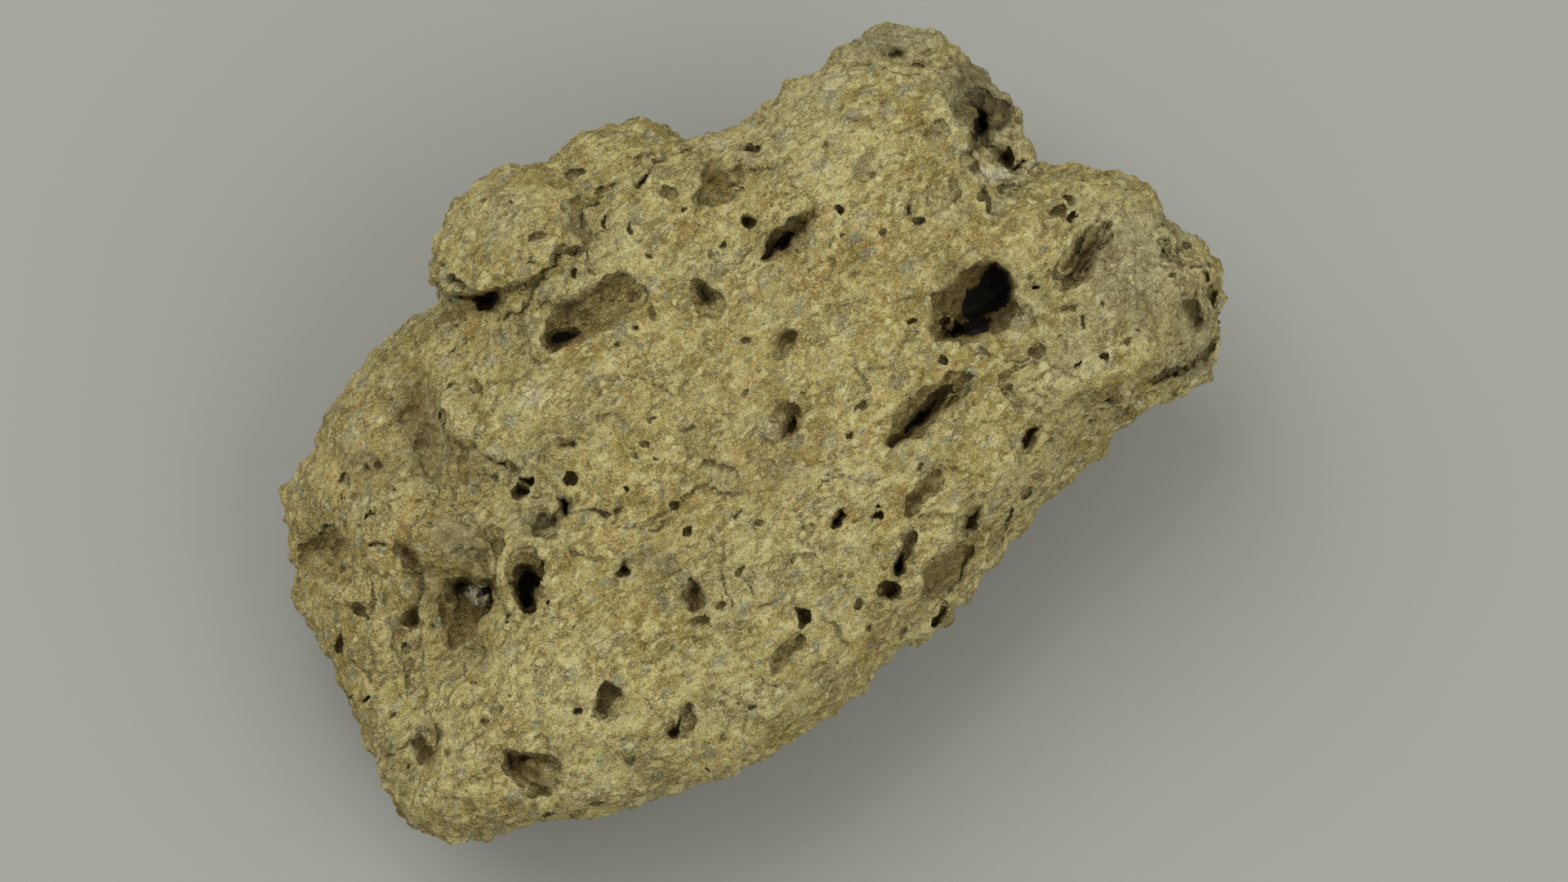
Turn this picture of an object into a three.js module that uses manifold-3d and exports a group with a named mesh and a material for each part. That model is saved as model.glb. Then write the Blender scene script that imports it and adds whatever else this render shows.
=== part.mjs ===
// A loose block of lapilli tuff: one stone, lying on its flattest side, with +Z up.
// Lengths are millimetres and angles are degrees.
//
// The block is shaped on its broad face. There u runs across the face, v up it and w out of it,
// and the rim is the closed line round the face where the front of the stone turns into its back.
// Last, the broad face leans back by the angle LEAN, the lowest lumps are cut off level, and the
// origin is put at the middle of the footprint.

import * as THREE from "three";
import { mergeVertices } from "three/addons/utils/BufferGeometryUtils.js";
import { ImprovedNoise } from "three/addons/math/ImprovedNoise.js";
import Module from "manifold-3d";

// ---------- driving dimensions ----------

const LEAN = 20; // how far the broad face leans back from level
const THICKNESS = 62; // from the broad face to the level cut, at the middle of the stone
const FACE_MIDDLE = [-7, 1]; // u, v of the point that the rim is measured round
const FACE_HEIGHT = 23; // w of the broad face at its middle
const FACE_SLOPE = -0.13; // how much the broad face falls for each millimetre up it
const FRONT_SQUARENESS = 2.7; // exponent of the front's profile: 2 is round, more is blockier
const BACK_SQUARENESS = 3.4; // the same for the back
const BODY_DETAIL = 15; // subdivisions of the icosahedron that becomes the body
const FRONT_FINENESS = 0.25; // how far the facets are drawn together on the front, where the relief is
const UNEVENNESS = 1.4; // how far small lumps and dents stray from the smooth face

const GROUND_BLOCK = [400, 400, 100]; // what the level cut takes away
const TUFF_COLOUR = 0x9d9062;

// ---------- outline ----------

// The rim, clockwise from the peak: u, v and w of each point.
const RIM = [
  [18.5, 72.5, -8], [29, 69, -10], [36, 62.5, -10], [41.5, 57.5, -10], [42, 49.5, -8],
  [48, 46.5, -6], [55.5, 47, -6], [63.5, 42.5, -6], [67, 36, -8], [74.5, 34, -10],
  [76.5, 24, -10], [76, 16.5, -8], [71, 8.5, -6], [59.5, 4, -2], [52.5, -3, 0],
  [45.5, -10, 0], [37, -19.5, 2], [30.5, -26, 4], [26.5, -32.5, 6], [18, -35.5, 8],
  [14, -42, 10], [5.5, -47, 12], [-2.5, -53, 14], [-12.5, -57, 15], [-23.5, -60.5, 16],
  [-33, -63, 16], [-42.5, -64.5, 16], [-53, -66.5, 15], [-64.5, -65, 13], [-67.5, -56.5, 10],
  [-72.5, -48.5, 7], [-77.5, -36, 2], [-83.5, -28.5, -3], [-85, -19.5, -6], [-87, -8.5, -8],
  [-81, -0.5, -7], [-78, 6.5, -5], [-71.5, 14, -3], [-63.5, 20.5, -1], [-58.5, 24, 1],
  [-60.5, 29, 5], [-57, 38.5, 4], [-50.5, 45.5, 2], [-42.5, 47.5, 0], [-36.5, 52, -4],
  [-29.5, 55, -6], [-21.5, 55, -8], [-19, 52, -6], [-10.5, 52.5, -2], [-2, 58.5, -4],
  [7, 65, -6], [11.5, 69.5, -8],
];

// ---------- relief of the broad face ----------

// A bevel is a broken-off side: past the line through `at`, towards `facing`, the face falls away.
const BEVELS = [
  { name: "left end", at: [-61, -24], facing: 190, slope: 0.55, rounding: 3 },
  { name: "lower right side", at: [36, -9], facing: -44, slope: 1.5, rounding: 1 },
  { name: "crest behind the peak", at: [22, 63.5], facing: 82, slope: 1.1, rounding: 1 },
  { name: "upper left shoulder", at: [-50, 12], facing: 145, slope: 0.55, rounding: 3 },
];

// A swell is a rounded lump, or a hollow where its rise is below zero. `turn` is the angle of its
// long side, and `edge` is how gently it ends: 0.1 is a step and 0.4 is a soft mound.
const SWELLS = [
  { name: "right shoulder", at: [59, 24], size: [34, 25], turn: 65, rise: 8, edge: 0.2 },
  { name: "upper dome", at: [15, 46], size: [44, 34], turn: 35, rise: 6, edge: 0.25 },
  { name: "upper left boulder", at: [-47, 36], size: [27, 22], turn: 25, rise: 8.5, edge: 0.2 },
  { name: "top left knob", at: [-29, 51], size: [17, 8], turn: 15, rise: 5, edge: 0.2 },
  { name: "torn ridge beside the boulder", at: [-21, 38], size: [22, 15], turn: 30, rise: 2.5, edge: 0.2 },
  { name: "left knee", at: [-72, -10], size: [24, 17], turn: -20, rise: 6, edge: 0.25 },
  { name: "foot", at: [-40, -54], size: [46, 18], turn: 8, rise: 3, edge: 0.35 },
  { name: "foot corner", at: [-62, -59], size: [12, 10], turn: 0, rise: 2, edge: 0.3 },
  { name: "long mound", at: [-38, 7], size: [30, 13], turn: 12, rise: 3.5, edge: 0.2 },
  { name: "shelf over the crystal hollow", at: [-56, -17], size: [15, 11], turn: -25, rise: 3, edge: 0.2 },
  { name: "lower belly", at: [-10, -28], size: [50, 34], turn: 35, rise: 2.5, edge: 0.4 },
  { name: "valley over the knee", at: [-64, 0], size: [24, 10], turn: -58, rise: -6, edge: 0.4 },
  { name: "crystal hollow", at: [-54, -28], size: [14, 22], turn: -8, rise: -10, edge: 0.22 },
  { name: "gully by the foot", at: [-61, -42], size: [8, 26], turn: 0, rise: -4, edge: 0.3 },
  { name: "step below the mound", at: [-45, -8], size: [24, 10], turn: -12, rise: -3, edge: 0.35 },
  { name: "peak side", at: [38, 54], size: [13, 24], turn: 12, rise: -10, edge: 0.18 },
  { name: "saddle", at: [47, 44], size: [18, 10], turn: -20, rise: -4, edge: 0.3 },
  { name: "groove by the boulder", at: [-33.5, 36], size: [6, 18], turn: -12, rise: -4, edge: 0.3 },
  { name: "undercut strip", at: [63, 9.5], size: [34, 6], turn: 24, rise: -6, edge: 0.2 },
  { name: "crest behind the shoulder", at: [72, 26], size: [9, 24], turn: 12, rise: -5, edge: 0.2 },
  { name: "top left fall", at: [-27, 51], size: [30, 13], turn: 12, rise: -7, edge: 0.2 },
];

// ---------- relief of the underside ----------

// The same kinds of form on the underside, where a bevel brings the surface up instead of down.
const UNDERSIDE_BEVELS = [
  { name: "under the right shoulder", at: [50, 10], facing: 5, slope: 0.5, rounding: 3 },
  { name: "under the peak", at: [10, 50], facing: 75, slope: 0.5, rounding: 3 },
  { name: "under the boulder", at: [-40, 30], facing: 140, slope: 0.5, rounding: 4 },
  { name: "under the left end", at: [-60, -20], facing: 185, slope: 0.35, rounding: 4 },
  { name: "under the foot", at: [-34, -50], facing: -100, slope: 0.6, rounding: 3 },
  { name: "under the lower right side", at: [20, -20], facing: -40, slope: 0.4, rounding: 3 },
];
const UNDERSIDE_SWELLS = [
  { name: "hollow under the foot", at: [-44, -36], size: [34, 20], turn: 30, rise: -6, edge: 0.3 },
  { name: "hollow under the boulder", at: [-34, 30], size: [26, 18], turn: -20, rise: -5, edge: 0.25 },
  { name: "lump under the right shoulder", at: [50, 24], size: [24, 18], turn: 60, rise: 4, edge: 0.3 },
  { name: "lump under the left end", at: [-58, -6], size: [22, 26], turn: 10, rise: 4, edge: 0.3 },
];
const UNDERSIDE_RELIEF = 3; // how far its broad lumps and dents stray from level
const SIDE_DENT = 0.12; // the deepest dents of the sides, as a share of the distance to the middle
const SIDE_SMOOTHING = 30; // over how many degrees the rim's bumps are evened out on the sides
const SIDE_TAPER = 0.95; // the sides' reach, as a share of the rim's

// ---------- pits ----------

// A pit left by a lump that fell out: where it is on the face, its length, width and depth, and the
// angle of its length.
const PITS = [
  { name: "great pit", at: [32, 24], size: [15, 12], depth: 12, turn: 50 },
  { name: "right slot", at: [24.5, 5], size: [18, 6], depth: 10, turn: 47 },
  { name: "upper slot", at: [0.7, 33.5], size: [13, 5], depth: 9, turn: 47 },
  { name: "long hollow", at: [-32, 21], size: [20, 9], depth: 6, turn: 28 },
  { name: "hollow beside the long one", at: [-12.5, 23], size: [8, 6.5], depth: 6, turn: -40 },
  { name: "shallow print", at: [0, 16], size: [7, 4.5], depth: 3, turn: 70 },
  { name: "pebble pit", at: [0.5, 3], size: [8, 4.5], depth: 4, turn: 38 },
  { name: "black pit", at: [-43.5, -22.5], size: [10, 6], depth: 11, turn: 75 },
  { name: "slab pit", at: [-39.5, -12], size: [9, 6], depth: 5, turn: 40 },
  { name: "lower slot", at: [20.5, -18.5], size: [10, 4], depth: 6, turn: 62 },
  { name: "round hole", at: [8.5, -12.3], size: [4.2, 3.2], depth: 5, turn: 70 },
  { name: "torn hole", at: [2.5, -29], size: [4.5, 3.2], depth: 5, turn: 120 },
  { name: "slanting print", at: [0.5, -35.5], size: [8, 4], depth: 4, turn: 55 },
  { name: "round pit", at: [-29.3, -43], size: [6.5, 5.5], depth: 5, turn: 80 },
  { name: "double pit", at: [-17.5, -47], size: [6.5, 5], depth: 4, turn: 40 },
  { name: "foot pit", at: [-42, -55], size: [10, 7.5], depth: 6, turn: -25 },
  { name: "upper scoop", at: [-11.5, 43], size: [10, 6], depth: 5, turn: 60 },
  { name: "peak cavity", at: [33, 54.5], size: [12, 7], depth: 8, turn: 65 },
  { name: "streaked hollow", at: [51.5, 32], size: [14, 7], depth: 4, turn: 62 },
  { name: "curved slot", at: [41.5, 0], size: [7.5, 2.6], depth: 5, turn: 57 },
  { name: "side print", at: [31.5, -12.5], size: [7.5, 5], depth: 4, turn: 50 },
  { name: "leaf print", at: [23.5, -8], size: [10, 3.6], depth: 3, turn: 52 },
  { name: "crystal pit", at: [-52, -25], size: [6.5, 4], depth: 5, turn: -10 },
  { name: "undercut below the boulder", at: [-52.5, 23.5], size: [14, 4], depth: 9, turn: 0 },
];

const PIT_SINK = 0.12; // share of its depth that a pit's widest part lies below the face
const PIT_ROUGHNESS = 0.18; // how far a pit's wall strays from an ellipsoid
const BACK_PITS = 11; // pits on the sides and back
const BACK_PITS_TOP = -0.12; // the z of the direction of the highest of them
const BACK_PITS_SPAN = 0.8; // how far below that the lowest one is
const BACK_PIT_LENGTH = [7, 15]; // shortest and longest of them
const BEDDING_TURN = 38; // the angle along which the pits are drawn out

// ---------- small helpers ----------

const noise = new ImprovedNoise();
const radians = THREE.MathUtils.degToRad;

// Smooth random unevenness between about -1 and 1, with lumps about `grain` across.
function uneven(u, v, w, grain) {
  const coarse = noise.noise(u / grain + 7.3, v / grain + 3.1, w / grain + 5.7);
  const fine = noise.noise((2.1 * u) / grain + 1.7, (2.1 * v) / grain + 9.2, (2.1 * w) / grain);
  return coarse + 0.5 * fine;
}

// Zero well below zero, x itself well above, with a bend of about `rounding` between.
function softRamp(x, rounding) {
  return 0.5 * (x + Math.sqrt(x * x + rounding * rounding));
}

// How far u, v is from the middle of an ellipse, where 1 is its edge.
function ellipseReach(u, v, at, size, turn) {
  const [c, s] = [Math.cos(radians(turn)), Math.sin(radians(turn))];
  const [x, y] = [u - at[0], v - at[1]];
  return Math.hypot((2 * (x * c + y * s)) / size[0], (2 * (y * c - x * s)) / size[1]);
}

// ---------- the body's surface ----------

const rimCurve = new THREE.CatmullRomCurve3(
  RIM.map(([u, v, w]) => new THREE.Vector3(u, v, w)),
  true,
  "centripetal",
);
const RIM_SAMPLES = 720;
const rimPoints = rimCurve
  .getPoints(RIM_SAMPLES)
  .map(({ x, y, z }) => {
    const [u, v] = [x - FACE_MIDDLE[0], y - FACE_MIDDLE[1]];
    return { angle: Math.atan2(v, u), reach: Math.hypot(u, v), w: z };
  })
  .sort((a, b) => a.angle - b.angle);

// The rim's distance from the middle of the face, and its w, in the direction `angle` in radians.
function rimTowards(angle) {
  let low = 0;
  let high = rimPoints.length - 1;
  while (high - low > 1) {
    const between = (low + high) >> 1;
    if (rimPoints[between].angle <= angle) low = between;
    else high = between;
  }
  const [a, b] = [rimPoints[low], rimPoints[high]];
  const share = THREE.MathUtils.clamp((angle - a.angle) / (b.angle - a.angle || 1), 0, 1);
  return {
    reach: THREE.MathUtils.lerp(a.reach, b.reach, share),
    w: THREE.MathUtils.lerp(a.w, b.w, share),
  };
}
// The rim's distance, evened out over SIDE_SMOOTHING degrees.
function sideReach(angle) {
  const turns = [-0.5, -0.3, -0.1, 0.1, 0.3, 0.5].map((share) => share * radians(SIDE_SMOOTHING));
  const reaches = turns.map((turn) => {
    const turned = angle + turn;
    return rimTowards(Math.atan2(Math.sin(turned), Math.cos(turned))).reach;
  });
  return (SIDE_TAPER * reaches.reduce((sum, reach) => sum + reach)) / reaches.length;
}

// How far bevels and swells raise the surface at u, v.
function reliefOf(bevels, swells, u, v) {
  let rise = 0;
  for (const { at, facing, slope, rounding } of bevels) {
    const beyond = (u - at[0]) * Math.cos(radians(facing)) + (v - at[1]) * Math.sin(radians(facing));
    rise -= slope * softRamp(beyond, rounding);
  }
  for (const swell of swells) {
    const outside = ellipseReach(u, v, swell.at, swell.size, swell.turn) - 1;
    rise += swell.rise / (1 + Math.exp((2 * outside) / swell.edge));
  }
  return rise;
}
// w of the broad face, before it curves down to the rim.
function faceRelief(u, v) {
  const level = FACE_HEIGHT + FACE_SLOPE * (v - FACE_MIDDLE[1]);
  return level + reliefOf(BEVELS, SWELLS, u, v) + UNEVENNESS * uneven(u, v, 0, 15);
}
// w of the underside, before it curves up to the rim. It is nearly parallel to the ground.
function undersideRelief(u, v) {
  const ground = FACE_HEIGHT - THICKNESS - v * Math.tan(radians(LEAN));
  const broad = UNDERSIDE_RELIEF * (uneven(u, v, 40, 34) - 0.5);
  return ground + broad - reliefOf(UNDERSIDE_BEVELS, UNDERSIDE_SWELLS, u, v) + UNEVENNESS * uneven(u, v, 40, 14);
}
// A point of the body from a direction out of its middle.
function bodyPoint(direction) {
  const across = Math.hypot(direction.x, direction.y);
  const front = direction.z >= 0;
  const power = front ? FRONT_SQUARENESS : BACK_SQUARENESS;
  const scale = (across ** power + Math.abs(direction.z) ** power) ** (-1 / power);
  const angle = Math.atan2(direction.y, direction.x);
  const rim = rimTowards(angle);
  const height = Math.abs(direction.z) * scale;
  let reach = rim.reach;
  if (!front) {
    const below = THREE.MathUtils.smoothstep(height, 0, 0.6);
    const [x, y, z] = [60 * Math.cos(angle), 60 * Math.sin(angle), 60 * height];
    const dent = SIDE_DENT * THREE.MathUtils.clamp(0.4 + uneven(x, y, z, 26), 0, 1);
    reach = THREE.MathUtils.lerp(rim.reach, sideReach(angle), below) * (1 - below * dent);
  }
  const u = FACE_MIDDLE[0] + across * scale * reach * Math.cos(angle);
  const v = FACE_MIDDLE[1] + across * scale * reach * Math.sin(angle);
  const relief = front ? faceRelief(u, v) : undersideRelief(u, v);
  return new THREE.Vector3(u, v, rim.w + height * (relief - rim.w));
}
// The direction whose body point lies over u, v on the front.
function directionOver(u, v) {
  const [x, y] = [u - FACE_MIDDLE[0], v - FACE_MIDDLE[1]];
  const angle = Math.atan2(y, x);
  const share = Math.min(Math.hypot(x, y) / rimTowards(angle).reach, 0.995);
  const height = (1 - share ** FRONT_SQUARENESS) ** (1 / FRONT_SQUARENESS);
  return new THREE.Vector3(share * Math.cos(angle), share * Math.sin(angle), height).normalize();
}

// ---------- solids ----------

const wasm = await Module();
wasm.setup();

// The closed solid inside a three.js geometry.
function solidOf(geometry) {
  const bare = geometry.clone();
  bare.deleteAttribute("normal");
  bare.deleteAttribute("uv");
  const merged = mergeVertices(bare, 1e-4);
  const triVerts = new Uint32Array(merged.index.array);
  const vertProperties = new Float32Array(merged.attributes.position.array);
  return new wasm.Manifold(new wasm.Mesh({ numProp: 3, vertProperties, triVerts }));
}

// An icosahedron's geometry with each vertex moved to where `place` puts it.
function shapedBall(detail, place) {
  const geometry = new THREE.IcosahedronGeometry(1, detail);
  const position = geometry.getAttribute("position");
  for (let i = 0; i < position.count; i++) {
    const point = place(new THREE.Vector3().fromBufferAttribute(position, i).normalize());
    position.setXYZ(i, point.x, point.y, point.z);
  }
  return geometry;
}

// The tool that cuts one pit: a rough ellipsoid, its depth along the surface's own normal.
function pitTool(direction, size, depth, turn, seed) {
  const middle = bodyPoint(direction);
  const step = 0.02;
  const sideways = new THREE.Vector3(0, 0, 1).cross(direction).normalize();
  if (sideways.lengthSq() === 0) sideways.set(1, 0, 0);
  const upwards = new THREE.Vector3().crossVectors(direction, sideways);
  const along = (axis) => bodyPoint(direction.clone().addScaledVector(axis, step).normalize());
  const normal = new THREE.Vector3().crossVectors(
    along(sideways).sub(middle),
    along(upwards).sub(middle),
  );
  normal.normalize();
  if (normal.dot(direction) < 0) normal.negate();
  const lengthwise = new THREE.Vector3(Math.cos(radians(turn)), Math.sin(radians(turn)), 0);
  lengthwise.addScaledVector(normal, -normal.dot(lengthwise)).normalize();
  const widthwise = new THREE.Vector3().crossVectors(normal, lengthwise);
  const sink = depth * PIT_SINK;
  const detail = Math.max(...size) > 14 ? 2 : 1;
  return solidOf(
    shapedBall(detail, (d) => {
      const rough = 1 + PIT_ROUGHNESS * 2 * noise.noise(2.3 * d.x + seed, 2.3 * d.y, 2.3 * d.z);
      return middle
        .clone()
        .addScaledVector(lengthwise, (d.x * rough * size[0]) / 2)
        .addScaledVector(widthwise, (d.y * rough * size[1]) / 2)
        .addScaledVector(normal, d.z * rough * (depth - sink) - sink);
    }),
  );
}

// The pits of the sides and back, spread evenly by the golden angle.
function backPitTools() {
  const tools = [];
  const goldenAngle = Math.PI * (3 - Math.sqrt(5));
  for (let i = 0; i < BACK_PITS; i++) {
    const z = BACK_PITS_TOP - (BACK_PITS_SPAN * (i + 0.5)) / BACK_PITS;
    const angle = i * goldenAngle;
    const across = Math.sqrt(1 - z * z);
    const direction = new THREE.Vector3(across * Math.cos(angle), across * Math.sin(angle), z);
    const chance = (k) => 0.5 + 0.5 * Math.sin(12.9898 * (i + 1) * k);
    const length = THREE.MathUtils.lerp(...BACK_PIT_LENGTH, chance(1) ** 1.5);
    const width = length * THREE.MathUtils.lerp(0.4, 0.75, chance(2));
    const turn = BEDDING_TURN + 50 * (chance(3) - 0.5);
    tools.push(pitTool(direction, [length, width], width * 0.8, turn, i));
  }
  return tools;
}

// ---------- assembly ----------

// The whole stone in the face's own axes, with its underside cut off level.
function stoneGeometry() {
  const towardsFront = new THREE.Vector3(0, 0, FRONT_FINENESS);
  let solid = solidOf(shapedBall(BODY_DETAIL, (d) => bodyPoint(d.add(towardsFront).normalize())));
  PITS.forEach(({ at, size, depth, turn }, i) => {
    solid = solid.subtract(pitTool(directionOver(...at), size, depth, turn, 3.7 * i));
  });
  for (const tool of backPitTools()) solid = solid.subtract(tool);

  const groundLevel = (FACE_HEIGHT - THICKNESS) * Math.cos(radians(LEAN));
  const ground = new THREE.BoxGeometry(...GROUND_BLOCK);
  ground.translate(0, 0, groundLevel - GROUND_BLOCK[2] / 2);
  ground.rotateX(-radians(LEAN));
  solid = solid.subtract(solidOf(ground));

  const mesh = solid.getMesh();
  const geometry = new THREE.BufferGeometry();
  geometry.setAttribute("position", new THREE.BufferAttribute(mesh.vertProperties, 3));
  geometry.setIndex(new THREE.BufferAttribute(mesh.triVerts, 1));
  geometry.computeVertexNormals();
  return geometry;
}

const tuff = new THREE.MeshStandardMaterial({ color: TUFF_COLOUR, roughness: 0.95, metalness: 0 });
const stone = new THREE.Mesh(stoneGeometry(), tuff);
stone.name = "stone";
stone.rotation.x = radians(LEAN);
const box = new THREE.Box3().setFromObject(stone, true);
const middle = box.getCenter(new THREE.Vector3());
stone.position.set(-middle.x, -middle.y, -box.min.z);

const part = new THREE.Group();
part.add(stone);

export default part;
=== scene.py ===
# %% [markdown]
# # A block of lapilli tuff
#
# Tuff is volcanic ash that settled and hardened. This block holds lapilli, little stones of 2 to 5 mm,
# and the pits that other lapilli left when they fell out. It lies loose on its flattest side.
#
# The CAD model gives the block its true size and its main lumps and pits, in facets of 3 to 4 mm.
# This notebook turns that into stone: it makes the facets a smooth dense skin, carves the ledges,
# cracks and pits into it, roughens it, and colours it. One object is left at the end.

# %% Load the frame
import math

import bmesh
import bpy
import numpy as np
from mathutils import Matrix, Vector


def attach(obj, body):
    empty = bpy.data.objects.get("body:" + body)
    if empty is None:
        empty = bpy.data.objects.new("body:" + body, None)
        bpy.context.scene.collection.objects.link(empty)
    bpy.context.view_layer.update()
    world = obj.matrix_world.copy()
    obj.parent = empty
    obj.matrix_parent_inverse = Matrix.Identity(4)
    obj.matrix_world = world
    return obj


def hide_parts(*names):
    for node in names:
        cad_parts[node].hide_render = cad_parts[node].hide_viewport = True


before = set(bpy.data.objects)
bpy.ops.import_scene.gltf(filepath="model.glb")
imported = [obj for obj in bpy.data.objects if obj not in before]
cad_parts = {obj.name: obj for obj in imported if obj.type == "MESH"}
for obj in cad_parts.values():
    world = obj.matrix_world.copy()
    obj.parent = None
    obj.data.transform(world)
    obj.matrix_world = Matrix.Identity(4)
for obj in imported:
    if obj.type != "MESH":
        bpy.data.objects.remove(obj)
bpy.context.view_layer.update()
stone_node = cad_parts["stone"]

# %% [markdown]
# ## The camera
#
# The camera looks down on the broad face with a long lens. Its place follows from four facts: what it
# aims at, how steeply it looks down, its lens, and how wide one pixel of its 1920 by 1080 picture is
# on the stone. It comes first because the carving below is placed through it: a form is easier to put
# down by where it is seen on the face than by three coordinates in space.

# %% Place the camera
MM = 0.001
PICTURE_WIDTH, PICTURE_HEIGHT = 1920, 1080
PIXEL = 0.14 * MM  # width of a pixel in the plane through AIM
LENS, SENSOR = 100.0, 36.0
ELEVATION = math.radians(70)
AIM = Vector((5.32, -1.54, 36.65)) * MM

towards_camera = Vector((0, -math.cos(ELEVATION), math.sin(ELEVATION)))
picture_right = Vector((1, 0, 0))
picture_up = towards_camera.cross(picture_right)
camera_distance = PICTURE_WIDTH * PIXEL * LENS / SENSOR


def add_object(name, data):
    """A new object in the scene."""
    added = bpy.data.objects.new(name, data)
    bpy.context.scene.collection.objects.link(added)
    return added


def point_along(piece, direction):
    """Turns a camera or a lamp so that it points in a direction."""
    piece.rotation_mode = "QUATERNION"
    piece.rotation_quaternion = direction.to_track_quat("-Z", "Y")


camera = add_object("camera", bpy.data.cameras.new("camera"))
camera.data.lens = LENS
camera.data.sensor_width = SENSOR
camera.location = AIM + towards_camera * camera_distance
point_along(camera, -towards_camera)
bpy.context.scene.camera = camera
print(f"camera {camera_distance:.3f} m from the stone")

# %% Where a point is seen
def seen_at(points):
    """Picture x and y of each point in pixels, and how far towards the camera it lies, in metres."""
    offset = points - np.array(AIM)
    height = offset @ np.array(towards_camera)
    pixels = camera_distance / (camera_distance - height) / PIXEL
    x = PICTURE_WIDTH / 2 + pixels * (offset @ np.array(picture_right))
    y = PICTURE_HEIGHT / 2 - pixels * (offset @ np.array(picture_up))
    return x, y, height

# %% [markdown]
# ## A dense skin
#
# The CAD mesh is loose triangles, so its corners are welded first. A voxel remesh then wraps it in an
# even net of quads. A coarse one, smoothed, takes away the facets; a fine one after it gives the
# carving enough vertices. A subdivision surface would keep the facets' uneven triangles, which pinch
# where the pits were cut.

# %% Wrap the CAD solid
COARSE_VOXEL = 0.8 * MM
FINE_VOXEL = 0.34 * MM
COARSE_SMOOTHING, FINE_SMOOTHING = 6, 3  # rounds of smoothing after each
WELD_DISTANCE = 0.001 * MM


def keep_result(piece):
    """Makes what a piece's modifiers show its own plain mesh."""
    graph = bpy.context.evaluated_depsgraph_get()
    result = bpy.data.meshes.new_from_object(piece.evaluated_get(graph))
    piece.modifiers.clear()
    worn_out = piece.data
    piece.data = result
    bpy.data.meshes.remove(worn_out)


def apply_modifiers(piece, *steps):
    """Runs modifiers, each a type and its settings, over a piece."""
    for kind, settings in steps:
        modifier = piece.modifiers.new(kind, kind)
        for name, value in settings.items():
            setattr(modifier, name, value)
    keep_result(piece)


def voxels(size):
    return "REMESH", {"mode": "VOXEL", "voxel_size": size, "use_smooth_shade": True}


def smoothing(rounds):
    return "SMOOTH", {"factor": 0.5, "iterations": rounds}


block = add_object("tuff_block", stone_node.data.copy())
block.data.materials.clear()
edit = bmesh.new()
edit.from_mesh(block.data)
bmesh.ops.remove_doubles(edit, verts=edit.verts, dist=WELD_DISTANCE)
edit.to_mesh(block.data)
edit.free()
apply_modifiers(block, voxels(COARSE_VOXEL), smoothing(COARSE_SMOOTHING))
apply_modifiers(block, voxels(FINE_VOXEL), smoothing(FINE_SMOOTHING))
print(f"skin of {len(block.data.vertices)} vertices")

# %% [markdown]
# ## Tools for carving
#
# NumPy moves all the vertices at once, which a loop over half a million of them couldn't do in time.
# The carving reads a vertex's place in the picture, bent a little by noise so that no outline is a
# perfect ellipse or a straight line, and answers with a height in millimetres.

# %% Noise and soft steps
NOISE_SEED = 11
NOISE_TABLE = np.random.default_rng(NOISE_SEED).uniform(-1, 1, 4096)  # a power of two
SCATTER = (73856093, 19349663, 83492791)  # primes that send neighbouring cells to far places in the table
FIRST_CELL = 100  # keeps the cells' numbers above zero


def noise(points, grain, shift=0.0):
    """Smooth random values between -1 and 1, with lumps about one grain across."""
    cell = points / grain + FIRST_CELL + shift
    low = np.floor(cell).astype(np.int64)
    part = cell - low
    part = part * part * (3 - 2 * part)
    total = np.zeros(len(points))
    for corner in range(8):
        step = np.array([corner & 1, corner >> 1 & 1, corner >> 2 & 1])
        x, y, z = ((low + step) * SCATTER).T
        weight = np.prod(np.where(step, part, 1 - part), axis=1)
        total += weight * NOISE_TABLE[(x ^ y ^ z) & (len(NOISE_TABLE) - 1)]
    return total


def smoothstep(low, high, value):
    """0 below low, 1 above high and a soft step between."""
    share = np.clip((value - low) / (high - low), 0, 1)
    return share * share * (3 - 2 * share)


def vectors_of(mesh, name="co"):
    """The places or normals of a mesh's vertices, one row for each."""
    values = np.empty(len(mesh.vertices) * 3, np.float32)
    mesh.vertices.foreach_get(name, values)
    return values.reshape(-1, 3).astype(float)


def move_to(mesh, places):
    mesh.vertices.foreach_set("co", places.astype(np.float32).ravel())
    mesh.update()

# %% Which vertices face the camera
CELL = 8  # pixels; the foremost skin is found for each square of this size
FRONT_DEPTH = (7 * MM, 13 * MM)  # from how far behind the foremost skin a vertex counts as the back


def front_share(x, y, height):
    """1 on the skin that the camera looks at, 0 on what lies behind it."""
    column = np.clip(x / CELL, 0, PICTURE_WIDTH / CELL - 1).astype(int)
    row = np.clip(y / CELL, 0, PICTURE_HEIGHT / CELL - 1).astype(int)
    foremost = np.full((PICTURE_HEIGHT // CELL, PICTURE_WIDTH // CELL), -1.0)
    np.maximum.at(foremost, (row, column), height)
    return 1 - smoothstep(*FRONT_DEPTH, foremost[row, column] - height)

# %% Shapes of the carving
END_FADE = 0.15  # share of a line over which a form dies away at each end


def near(x, y, points, margin):
    """Which vertices are seen within a margin of some points, so that a form costs only its own."""
    low, high = np.min(points, axis=0) - margin, np.max(points, axis=0) + margin
    return np.flatnonzero((x > low[0]) & (x < high[0]) & (y > low[1]) & (y < high[1]))


def ellipse(x, y, at, size, turn):
    """Place in an ellipse: along it, across it and out from its middle, each 1 at the rim."""
    c, s = math.cos(math.radians(turn)), math.sin(math.radians(turn))
    right, above = x - at[0], at[1] - y
    along = (right * c + above * s) / (size[0] / 2)
    across = (above * c - right * s) / (size[1] / 2)
    return along, across, np.hypot(along, across)


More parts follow.
